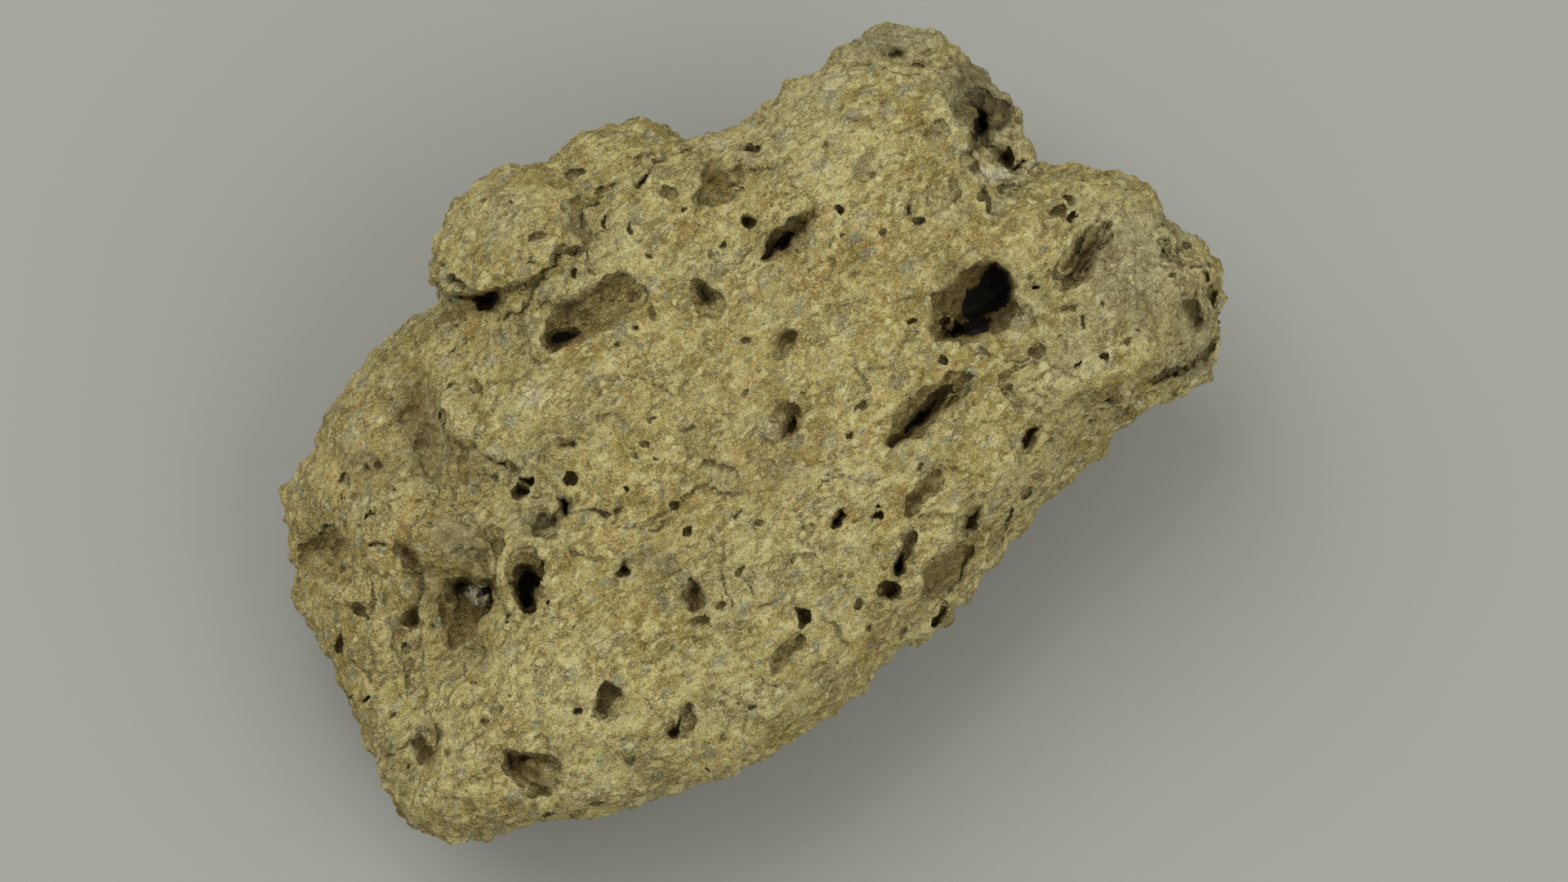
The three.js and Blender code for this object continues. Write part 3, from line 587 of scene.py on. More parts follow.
# %% Swells
SWELLS = [
    # at, size, turn, height
    ((706, 372), (60, 30), 25, 1.8), ((1250, 352), (60, 26), -60, 1.2), ((700, 272), (34, 60), 10, -1.6),
    ((1290, 352), (40, 60), 30, 1.0), ((1080, 722), (12, 10), 0, 1.4), ((948, 520), (34, 22), 35, 1.4),
    ((1224, 182), (22, 16), 0, 2.6), ((1290, 465), (110, 50), 20, 1.0), ((720, 880), (160, 120), 30, 0.8),
    ((520, 990), (90, 50), -20, 0.8), ((400, 590), (100, 60), 30, 1.0), ((430, 530), (90, 60), 40, 1.4),
    ((517, 515), (180, 56), 97, -3.4), ((645, 500), (180, 110), 12, 2.4), ((425, 545), (130, 100), 30, 2.0),
    ((1098, 66), (50, 22), -20, -2.2), ((555, 600), (60, 60), 0, -1.0), ((1205, 640), (110, 12), 75, 1.0),
    ((1163, 740), (90, 12), 50, 1.0), ((690, 480), (150, 50), 20, 1.0), ((500, 790), (44, 130), 0, -2.0),
    ((470, 690), (40, 90), 10, 1.4), ((1168, 345), (40, 24), 40, 2.0), ((1150, 400), (30, 40), 0, 1.0),
    ((1175, 492), (40, 12), 44, 1.2), ((1370, 370), (130, 110), 0, 1.6), ((615, 700), (22, 90), 10, 1.0),
    ((420, 730), (80, 50), 0, 1.6), ((395, 660), (60, 44), 0, -1.2), ((1000, 120), (120, 50), 45, 0.8),
    ((760, 260), (60, 40), 20, 0.8), ((480, 470), (60, 40), 50, 1.0), ((545, 395), (70, 30), 20, -1.4),
    ((1120, 56), (60, 24), 0, 0.8), ((1360, 240), (60, 40), -20, 0.8), ((1470, 310), (40, 40), 0, 1.0),
]
print(len(SWELLS), "swells")

# %% [markdown]
# ## Carving the broad face
#
# Weather wears a block from outside, so the carving works the same way: every vertex that the camera
# sees is moved along the camera's line by what the tables say at its place. A sculpting brush or a
# painted height map would do it too, but a form in a table can be named, moved and made deeper one at a
# time. The CAD solid's own pits are round, and these aren't, so they are filled level first.

# %% Swells, ledges and lumps as a rise
SWELL_FALL = (0.2, 1.25)  # where a swell's fall begins and ends, from 0 in its middle and 1 at its rim
SEAM_DEPTH, SEAM_WIDTH = 0.5, 9  # the low side of a ledge sinks by a share of its rise, over some pixels
MARGIN = 2  # pixels round an outline that are looked at too


def rise_at(x, y):
    """How far the swells, ledges and lumps lift the skin, in mm."""
    rise = np.zeros(len(x))
    for at, size, turn, height in SWELLS:
        here = near(x, y, [at], max(size))
        reach = ellipse(x[here], y[here], at, size, turn)[2]
        rise[here] += height * (1 - smoothstep(*SWELL_FALL, reach))
    for name, line, height, reach in LEDGES:
        here = near(x, y, line, reach)
        away, side, share = beside(x[here], y[here], line)
        raised = (side < 0) * (1 - smoothstep(0, reach, away))
        sunk = (side > 0) * (1 - smoothstep(0, SEAM_WIDTH, away)) * SEAM_DEPTH
        rise[here] += height * (raised - sunk) * fade_at_ends(share)
    for name, outline, height, edge in LUMPS:
        here = near(x, y, outline, MARGIN)
        rise[here] += height * rounded(x[here], y[here], outline, edge)
    return rise

# %% Cracks and small pits as a depth
BOWL_POWER = 3.2  # 2 is a round bowl; more gives a flatter floor and steeper walls
CRACK_FLOOR = 0.15  # share of a crack's width that is its floor
CRACK_END = 0.3  # share of its depth that a crack keeps at its ends


def bowl(reach):
    """1 in the middle of a pit and 0 from its rim on."""
    return np.sqrt(np.clip(1 - reach**BOWL_POWER, 0, 1))


def small_depth_at(x, y):
    """How deep the cracks and small pits are, in mm."""
    deepest = np.zeros(len(x))
    for line, width, depth in CRACKS:
        here = near(x, y, line, width)
        away, side, share = beside(x[here], y[here], line)
        groove = 1 - smoothstep(CRACK_FLOOR, 1, away / (width / 2))
        kept = CRACK_END + (1 - CRACK_END) * fade_at_ends(share)
        deepest[here] = np.maximum(deepest[here], depth * groove * kept)
    for at, size, turn, depth in SMALL_PITS:
        here = near(x, y, [at], max(size))
        reach = ellipse(x[here], y[here], at, size, turn)[2]
        deepest[here] = np.maximum(deepest[here], depth * bowl(reach))
    return deepest

# %% Large pits as a depth
RIB_SIZE, RIB_DEPTH = (26, 4.5), 0.9  # length and width in pixels, and mm
CRUMB_SIZE, CRUMB_HEIGHT = 10, 0.8  # pixels and mm
ROUGH_DEPTH = 3  # mm; a shallower pit has a smoother floor
LEAST_FLOOR = 0.1  # share of its depth that a leaning floor keeps at its high end


def large_depth_at(x, y):
    """How deep the large pits are, in mm."""
    deepest = np.zeros(len(x))
    for name, outline, depth, wall, (lean_to, lean), ribs in LARGE_PITS:
        here = near(x, y, outline, MARGIN)
        at = x[here], y[here]
        level = np.zeros(len(here))
        middle, size = np.mean(outline, axis=0), np.ptp(outline, axis=0).max()
        leant = ellipse(*at, middle, (size, size), lean_to)[0]
        along, across, _ = ellipse(*at, middle, (2, 2), ribs)
        streaks = noise(np.stack([along / RIB_SIZE[0], across / RIB_SIZE[1], level], axis=1), 1)
        crumbs = noise(np.stack([*at, level], axis=1), CRUMB_SIZE, 3)
        uneven = RIB_DEPTH * streaks + CRUMB_HEIGHT * crumbs
        floor = depth * np.clip(1 + lean * leant, LEAST_FLOOR, None) + uneven * min(1, depth / ROUGH_DEPTH)
        deepest[here] = np.maximum(deepest[here], floor * rounded(*at, outline, wall))
    return deepest

# %% Filling the CAD solid's pits
REFILL_RING = (9, 22)  # the rim round a pit that tells its level, in pixels from its outline
REFILL_ROUNDS = 3
RIM_SLACK = 0.5 * MM  # rim points deeper than this under one fit are left out of the next


def refill_at(x, y, height, front):
    """How far to lift the skin so that the CAD solid's round pits are level with what lies round them."""
    lift = np.zeros(len(x))
    for name, outline, *rest in LARGE_PITS:
        if name not in REFILLED:
            continue
        here = near(x, y, outline, REFILL_RING[1])
        here = here[front[here] > 0.5]
        inside = depth_inside(x[here], y[here], outline)
        plane = np.stack([x[here], y[here], np.ones(len(here))], axis=1)
        ring = (inside < -REFILL_RING[0]) & (inside > -REFILL_RING[1])
        for _ in range(REFILL_ROUNDS):
            fit = np.linalg.lstsq(plane[ring], height[here][ring], rcond=None)[0]
            ring &= height[here] > plane @ fit - RIM_SLACK
        missing = np.maximum(plane @ fit - height[here], 0)
        missing *= smoothstep(-REFILL_RING[1], -REFILL_RING[0], inside)
        lift[here] = np.maximum(lift[here], missing / MM)
    return lift

# %% Carve the broad face
WARPS = [(40, 3.0), (14, 3.0), (7, 2.5)]  # grain and strength in pixels of the noise that bends outlines


def bent(x, y):
    """The same places in the picture, pushed about by noise."""
    flat = np.stack([x, y, np.zeros(len(x))], axis=1)
    for i, (grain, strength) in enumerate(WARPS):
        x = x + strength * noise(flat, grain, 10 + i)
        y = y + strength * noise(flat, grain, 20 + i)
    return x, y


skin = vectors_of(block.data)
x, y, height = seen_at(skin)
front = front_share(x, y, height)
x, y = bent(x, y)
lift = (refill_at(x, y, height, front) + rise_at(x, y) - large_depth_at(x, y)) * front
move_to(block.data, skin + np.outer(lift * MM, towards_camera))
print(f"carved from {lift.min():.1f} to {lift.max():.1f} mm")

# %% [markdown]
# ## The hidden sides
#
# The sides, back and underside get the same kinds of pits, scattered by chance with a fixed seed. A
# pit here is carved along the skin's own normal, in a flat frame laid on the skin at its middle.

# %% Scatter pits over the sides and back
HIDDEN_PITS, HIDDEN_SEED = 120, 5
HIDDEN_PIT_LENGTH = (2.0, 12.0)  # mm
MOSTLY_SMALL = 2.4  # 1 spreads the lengths evenly; more favours short pits
HIDDEN_PIT_SHAPE = (0.4, 0.8)  # a pit's width as a share of its length
HIDDEN_PIT_DEPTH = (0.35, 0.6)  # and its depth as a share of its width
HIDDEN_PIT_GAP = 5.0 * MM
RIM_GRAIN, RIM_PUSH = 2.6 * MM, 0.9 * MM  # the noise that makes the rims uneven
RESTING_HEIGHT = 1.5 * MM  # no pits below, where the stone rests
BEDDING_TURN = math.radians(42)
BEDDING = np.array([math.cos(BEDDING_TURN), math.sin(BEDDING_TURN), 0.2])
BEDDING_SPREAD = 0.35


def carve_hidden(places, normals):
    """How deep pits scattered over the hidden sides are, in metres."""
    rng = np.random.default_rng(HIDDEN_SEED)
    x, y, height = seen_at(places)
    hidden = np.flatnonzero((front_share(x, y, height) == 0) & (places[:, 2] > RESTING_HEIGHT))
    pushed = places + RIM_PUSH * np.stack([noise(places, RIM_GRAIN, k) for k in (31, 32, 33)], axis=1)
    deepest = np.zeros(len(places))
    middles = []
    for index in rng.permutation(hidden):
        if len(middles) == HIDDEN_PITS:
            break
        middle = places[index]
        if any(np.linalg.norm(middle - other) < HIDDEN_PIT_GAP for other in middles):
            continue
        middles.append(middle)
        length = MM * (HIDDEN_PIT_LENGTH[0] + np.ptp(HIDDEN_PIT_LENGTH) * rng.random() ** MOSTLY_SMALL)
        width = length * rng.uniform(*HIDDEN_PIT_SHAPE)
        normal = normals[index]
        along = BEDDING + rng.normal(0, BEDDING_SPREAD, 3)
        along -= normal * (along @ normal)
        along /= np.linalg.norm(along)
        across = np.cross(normal, along)
        here = np.flatnonzero(np.abs(places - middle).max(axis=1) < length)
        offset = pushed[here] - middle
        reach = np.hypot(offset @ along / (length / 2), offset @ across / (width / 2))
        depth = width * rng.uniform(*HIDDEN_PIT_DEPTH) * bowl(reach)
        deepest[here] = np.maximum(deepest[here], depth)
    return deepest


skin, normals = vectors_of(block.data), vectors_of(block.data, "normal")
move_to(block.data, skin - normals * carve_hidden(skin, normals)[:, None])
apply_modifiers(block, voxels(FINE_VOXEL), smoothing(1))
print(f"{HIDDEN_PITS} hidden pits, {len(block.data.vertices)} vertices")

# %% [markdown]
# ## Cracks and small pits
#
# They are about as wide as a few voxels, so they are pressed in after the last remesh, which would
# wash them out.

# %% Press in the small forms
skin = vectors_of(block.data)
x, y, height = seen_at(skin)
lift = -small_depth_at(*bent(x, y)) * front_share(x, y, height)
move_to(block.data, skin + np.outer(lift * MM, towards_camera))
print(f"pressed in to {-lift.min():.1f} mm")

# %% [markdown]
# ## Sums on sockets
#
# Both the relief and the colour are sums of noise. Written with nodes alone they would be pages of
# calls, so a small class wraps a node's output and lets plain signs add the Math nodes. Any other node
# comes from one function that takes its type, its settings and its inputs.

# %% A wire and the signs that work on it
class Wire:
    """A node's output that takes part in sums, as in 1 - mask * 0.5."""

    def __init__(self, tree, socket):
        self.tree, self.socket = tree, socket

    def __getitem__(self, name):
        """Another output of the same node."""
        return Wire(self.tree, self.socket.node.outputs[name])

    def math(self, operation, *values):
        return add_node(self.tree, "ShaderNodeMath", {"operation": operation}, dict(enumerate(values)))

    def __add__(self, other):
        return self.math("ADD", self, other)

    def __mul__(self, other):
        return self.math("MULTIPLY", self, other)

    def __sub__(self, other):
        return self.math("SUBTRACT", self, other)

    def __rsub__(self, other):
        return self.math("SUBTRACT", other, self)

    __radd__, __rmul__ = __add__, __mul__

    def ramp(self, low, high, smooth=True):
        """0 below low and 1 above high."""
        settings = {"interpolation_type": "SMOOTHSTEP" if smooth else "LINEAR"}
        return add_node(self.tree, "ShaderNodeMapRange", settings, {0: self, 1: low, 2: high})

    def either(self, other):
        """The larger of the two."""
        return self.math("MAXIMUM", self, other)


def add_node(tree, kind, settings=None, inputs=None):
    """Adds a node, gives it its settings, then its inputs, and returns its first output in use."""
    node = tree.nodes.new(kind)
    for name, value in (settings or {}).items():
        setattr(node, name, value)
    for name, value in (inputs or {}).items():
        socket = node.inputs[name]
        if not socket.enabled:
            socket = next(s for s in node.inputs if s.name == name and s.enabled)
        if isinstance(value, Wire):
            tree.links.new(value.socket, socket)
        else:
            socket.default_value = value
    outputs = [s for s in node.outputs if s.enabled]
    return Wire(tree, outputs[0]) if outputs else node

# %% Patterns that both trees use
def vector_math(tree, operation, *values):
    return add_node(tree, "ShaderNodeVectorMath", {"operation": operation}, dict(enumerate(values)))


def cloud(tree, place, grain, detail=3.0, roughness=0.55, bend=0.0):
    """fBM noise from 0 to 1 with lumps about one grain across."""
    values = {"Vector": place, "Scale": 1 / grain, "Detail": detail, "Roughness": roughness}
    return add_node(tree, "ShaderNodeTexNoise", {}, values | {"Distortion": bend})


def jostled(tree, place, grain, reach, detail=2.0):
    """Coordinates pushed about by noise, so that a pattern read through them gets ragged edges."""
    values = {"Vector": place, "Scale": 1 / grain, "Detail": detail}
    push = add_node(tree, "ShaderNodeTexNoise", {}, values)["Color"]
    return vector_math(tree, "MULTIPLY_ADD", push, (reach, reach, reach), place)


def cells(tree, place, size, feature="F1", softness=0.0):
    """Distance from the nearest cell's middle as a share of its size; ["Color"] is the cell's own."""
    values = {"Vector": place, "Scale": 1 / size}
    if feature == "SMOOTH_F1":
        values["Smoothness"] = softness
    return add_node(tree, "ShaderNodeTexVoronoi", {"feature": feature}, values)

# %% [markdown]
# ## Where the lapilli are
#
# The relief and the colour both have to know which spots are lapilli, or a raised one would have its
# colour beside it. So both trees call the function below on the same coordinates. It sorts the cells
# of a Voronoi pattern by their random number: one in four is a lapillus, one in seventeen a hole.

# %% Cells of the rock
LAPILLUS_SIZE = 3.2 * MM
CHIP_SIZE = 1.5 * MM  # lapilli too small to stand out
LAPILLUS_SHARE, HOLE_SHARE = 0.26, 0.06  # of all cells
LAPILLUS_RIM, HOLE_RIM = (0.32, 0.38), (0.14, 0.22)  # from the cell's middle, as shares of its size
RAGGEDNESS = 0.75  # how far the rims are pushed about, as a share of the size
BEDDING_STRETCH = 1.5


def along_bedding(tree, place, stretch):
    """Coordinates with x along the bedding, squeezed so that patterns draw out that way."""
    values = {"Vector": place, "Axis": (0, 0, 1), "Angle": -BEDDING_TURN}
    turned = add_node(tree, "ShaderNodeVectorRotate", {"rotation_type": "AXIS_ANGLE"}, values)
    return vector_math(tree, "MULTIPLY", turned, (1 / stretch, 1, 1))


def random_parts(tree, cell):
    """The random numbers of a cell: ["X"], ["Y"] and ["Z"]."""
    return add_node(tree, "ShaderNodeSeparateXYZ", {}, {"Vector": cell["Color"]})


def lapilli(tree, place, size=LAPILLUS_SIZE):
    """How much of a spot is a lapillus, how much of it is a small hole, and a number for its cell."""
    ragged = jostled(tree, place, size / 2, RAGGEDNESS * size)
    cell = cells(tree, along_bedding(tree, ragged, BEDDING_STRETCH), size)
    number = random_parts(tree, cell)
    is_lapillus = number.math("LESS_THAN", number, LAPILLUS_SHARE)
    is_hole = number.math("GREATER_THAN", number, 1 - HOLE_SHARE)
    lapillus = (1 - cell.ramp(*LAPILLUS_RIM)) * is_lapillus
    hole = (1 - cell.ramp(*HOLE_RIM)) * is_hole
    return lapillus, hole, number["Y"]

# %% [markdown]
# ## The rock's own relief
#
# Weathered tuff is knobbly at every size: ash in lumps, lumps in bigger lumps, and thin plates where it
# split along the bedding. That follows a rule, so Geometry Nodes make it. Each term is a pattern times a
# height, summed and pushed out along the normal. The broad forms come first, and the small grain is
# then worked out on the roughened surface.

# %% The ends of a geometry tree
def new_tree(name, sizes):
    """A geometry tree with its sizes as named inputs; returns it and the wires of its inputs."""
    tree = bpy.data.node_groups.new(name, "GeometryNodeTree")
    tree.interface.new_socket("Geometry", in_out="INPUT", socket_type="NodeSocketGeometry")
    tree.interface.new_socket("Geometry", in_out="OUTPUT", socket_type="NodeSocketGeometry")
    tree.interface.new_socket("Material", in_out="INPUT", socket_type="NodeSocketMaterial")
    for size in sizes:
        tree.interface.new_socket(size, in_out="INPUT", socket_type="NodeSocketFloat")
    entry = add_node(tree, "NodeGroupInput")
    return tree, entry


def end_tree(tree, geometry, material):
    """Realize Instances, Set Material and the way out."""
    realized = add_node(tree, "GeometryNodeRealizeInstances", {}, {"Geometry": geometry})
    painted = add_node(tree, "GeometryNodeSetMaterial", {}, {"Geometry": realized, "Material": material})
    add_node(tree, "NodeGroupOutput", {}, {"Geometry": painted})


def push_out(tree, geometry, height):
    """Moves the points of a mesh along their normals."""
    values = {0: add_node(tree, "GeometryNodeInputNormal"), "Scale": height}
    offset = add_node(tree, "ShaderNodeVectorMath", {"operation": "SCALE"}, values)
    return add_node(tree, "GeometryNodeSetPosition", {}, {"Geometry": geometry, "Offset": offset})

# %% Relief tree
RELIEF_SIZES = {
    "Bulge Height": 1.3 * MM,
    "Knob Height": 0.9 * MM,
    "Plate Height": 0.7 * MM,
    "Grain Height": 0.42 * MM,
    "Lapillus Height": 0.35 * MM,
    "Hole Depth": 0.9 * MM,
}
BULGE_SIZE, LUMP_SIZE, KNOB_SIZE = 17 * MM, 6 * MM, 5.5 * MM
PLATE_SIZE, PLATE_GRAIN, PLATE_PUSH = 3.6 * MM, 3 * MM, 3.5 * MM  # the last two make the edges ragged
GRAIN_SIZE = 2.4 * MM
NOISE_REACH = 2.6  # brings a noise, which seldom leaves 0.3 to 0.7, to its whole height
FRONT_CALM = 1.5  # how much less the broad face bulges, as its large forms are carved already
STEEP = (0.2, 0.8)  # cosines of the angle to the camera's line at which the skin counts as steep or level

relief, entry = new_tree("rock relief", RELIEF_SIZES)
place = add_node(relief, "GeometryNodeInputPosition")
front = add_node(relief, "GeometryNodeInputNamedAttribute", {"data_type": "FLOAT"}, {"Name": "front"})
slope = vector_math(relief, "DOT_PRODUCT", add_node(relief, "GeometryNodeInputNormal"), towards_camera)
steep = 1 - slope["Value"].ramp(*STEEP)

swing = NOISE_REACH - FRONT_CALM * front
bulges = (cloud(relief, place, BULGE_SIZE, 2.0) - 0.5) * entry["Bulge Height"] * swing
knobs = (0.45 - cells(relief, place, KNOB_SIZE, "SMOOTH_F1", 0.35)) * entry["Knob Height"]
lumps = (cloud(relief, place, LUMP_SIZE, 2.0, 0.6) - 0.5) * entry["Knob Height"] * 2.4
ragged = jostled(relief, place, PLATE_GRAIN, PLATE_PUSH, 3.0)
plate = cells(relief, along_bedding(relief, ragged, BEDDING_STRETCH), PLATE_SIZE, "SMOOTH_F1", 0.12)
plates = (random_parts(relief, plate) - 0.5) * entry["Plate Height"]
knobbly = 0.6 + 1.6 * steep  # knobs stand out most where the skin turns away
rough = push_out(relief, entry["Geometry"], bulges + plates + (knobs + lumps) * knobbly)

grains = (cloud(relief, place, GRAIN_SIZE, 4.0, 0.7) - 0.5) * entry["Grain Height"] * NOISE_REACH
raised, sunk, number = lapilli(relief, place)
flakes = raised * (number * 1.4 - 0.3) * entry["Lapillus Height"] - sunk * entry["Hole Depth"]
end_tree(relief, push_out(relief, rough, grains + flakes), entry["Material"])
print(len(relief.nodes), "nodes in the relief tree")

# %% Run the relief over the block
def store(mesh, name, values):
    """Keeps one number for each vertex as a named attribute."""
    layer = mesh.attributes.get(name) or mesh.attributes.new(name, "FLOAT", "POINT")
    layer.data.foreach_set("value", np.asarray(values, np.float32))


def run_tree(piece, tree, values):
    """Adds a tree to a piece, sets its inputs by their identifiers and keeps the plain result."""
    modifier = piece.modifiers.new(tree.name, "NODES")
    modifier.node_group = tree
    for item in tree.interface.items_tree:
        if item.in_out == "INPUT" and item.name in values:
            modifier[item.identifier] = values[item.name]
    keep_result(piece)


tuff = bpy.data.materials.new("weathered tuff")
x, y, height = seen_at(vectors_of(block.data))
store(block.data, "front", front_share(x, y, height))
run_tree(block, relief, RELIEF_SIZES | {"Material": tuff})
places = vectors_of(block.data)
places[:, 2] = np.maximum(places[:, 2], 0)  # nothing below the floor
move_to(block.data, places)
print(f"roughened, {len(block.data.vertices)} vertices")

# %% [markdown]
# ## Crevices
#
# Light reaches less of what lies deep, so the colour paints shade into the hollows and a highlight onto
# the edges, and has to know how hollow each spot is. Comparing the mesh with a smoothed copy of itself
# tells that: where the copy lies outside the mesh there is a hollow, where it lies inside there is an
# edge. It is measured while the mesh is still even, and Decimate carries it over. Blender's Ambient
# Occlusion node could tell it too, but only while rendering, and it would be lost on the way out of
# Blender.

# %% Measure crevices
CREVICE_ROUNDS = 4  # of smoothing; more would find broader hollows


def hollowness(mesh, rounds):
    """How far a copy of the mesh, smoothed for some rounds, lies outside each vertex, in mm."""
    edges = np.empty(len(mesh.edges) * 2, np.int32)
    mesh.edges.foreach_get("vertices", edges)
    a, b = edges.reshape(-1, 2).T
    count = len(mesh.vertices)
    valence = np.bincount(a, minlength=count) + np.bincount(b, minlength=count)
    start, normals = vectors_of(mesh), vectors_of(mesh, "normal")
    smooth = start
    for _ in range(rounds):
        total = [
            np.bincount(a, smooth[b, axis], count) + np.bincount(b, smooth[a, axis], count)
            for axis in range(3)
        ]
        smooth = np.stack(total, axis=1) / valence[:, None]
    return ((smooth - start) * normals).sum(axis=1) / MM


measured = hollowness(block.data, CREVICE_ROUNDS)
store(block.data, "crevice", measured)
print("crevices in mm:", np.percentile(measured, [2, 50, 98]).round(2))

# %% [markdown]
# ## Fewer triangles
#
# Decimate takes triangles where the surface is calm and leaves them where it bends. It runs twice. The
# first run thins only the hidden sides, through a vertex group, so that most of what is left after the
# second, which thins everything, lies on the broad face with its fine forms.

# %% Thin the mesh
TRIANGLES = 194_000
HIDDEN_PART = 0.2  # of those triangles, about how many the hidden sides get


def triangles_of(mesh):
    return sum(len(face.vertices) - 2 for face in mesh.polygons)


x, y, height = seen_at(places)
is_hidden = front_share(x, y, height) < 0.5
group = block.vertex_groups.new(name="hidden")
group.add(np.flatnonzero(is_hidden).tolist(), 1.0, "REPLACE")
before = triangles_of(block.data)
shown = before * (1 - is_hidden.mean())
after_first = shown * (1 + HIDDEN_PART / (1 - HIDDEN_PART))
apply_modifiers(block, ("DECIMATE", {"ratio": after_first / before, "vertex_group": "hidden"}))
block.vertex_groups.clear()
between = triangles_of(block.data)
apply_modifiers(block, ("DECIMATE", {"ratio": TRIANGLES / between}))
print(f"{before} triangles thinned to {between} and then to {triangles_of(block.data)}")

# %% [markdown]
# ## All in one piece
#
# Where the carving cut a crumb free or closed a bubble inside the rock, Remesh leaves a speck of skin on
# its own. The real stone hangs together, so only the largest part of the mesh is kept.

# %% Keep the largest part
def parts_of(edit):
    """The vertices of each part of a mesh that hangs together, the largest part last."""
    parts = []
    reached = set()
    for start in edit.verts:
        if start in reached:
            continue
        reached.add(start)
        ahead = [start]
        part = []
        while ahead:
            vertex = ahead.pop()
            part.append(vertex)
            for edge in vertex.link_edges:
                other = edge.other_vert(vertex)
                if other not in reached:
                    reached.add(other)
                    ahead.append(other)
        parts.append(part)
    return sorted(parts, key=len)


edit = bmesh.new()
edit.from_mesh(block.data)
loose_parts = parts_of(edit)[:-1]
bmesh.ops.delete(edit, geom=[vertex for part in loose_parts for vertex in part], context="VERTS")
edit.to_mesh(block.data)
edit.free()
print(f"{len(loose_parts)} loose crumbs and bubbles removed, {triangles_of(block.data)} triangles left")
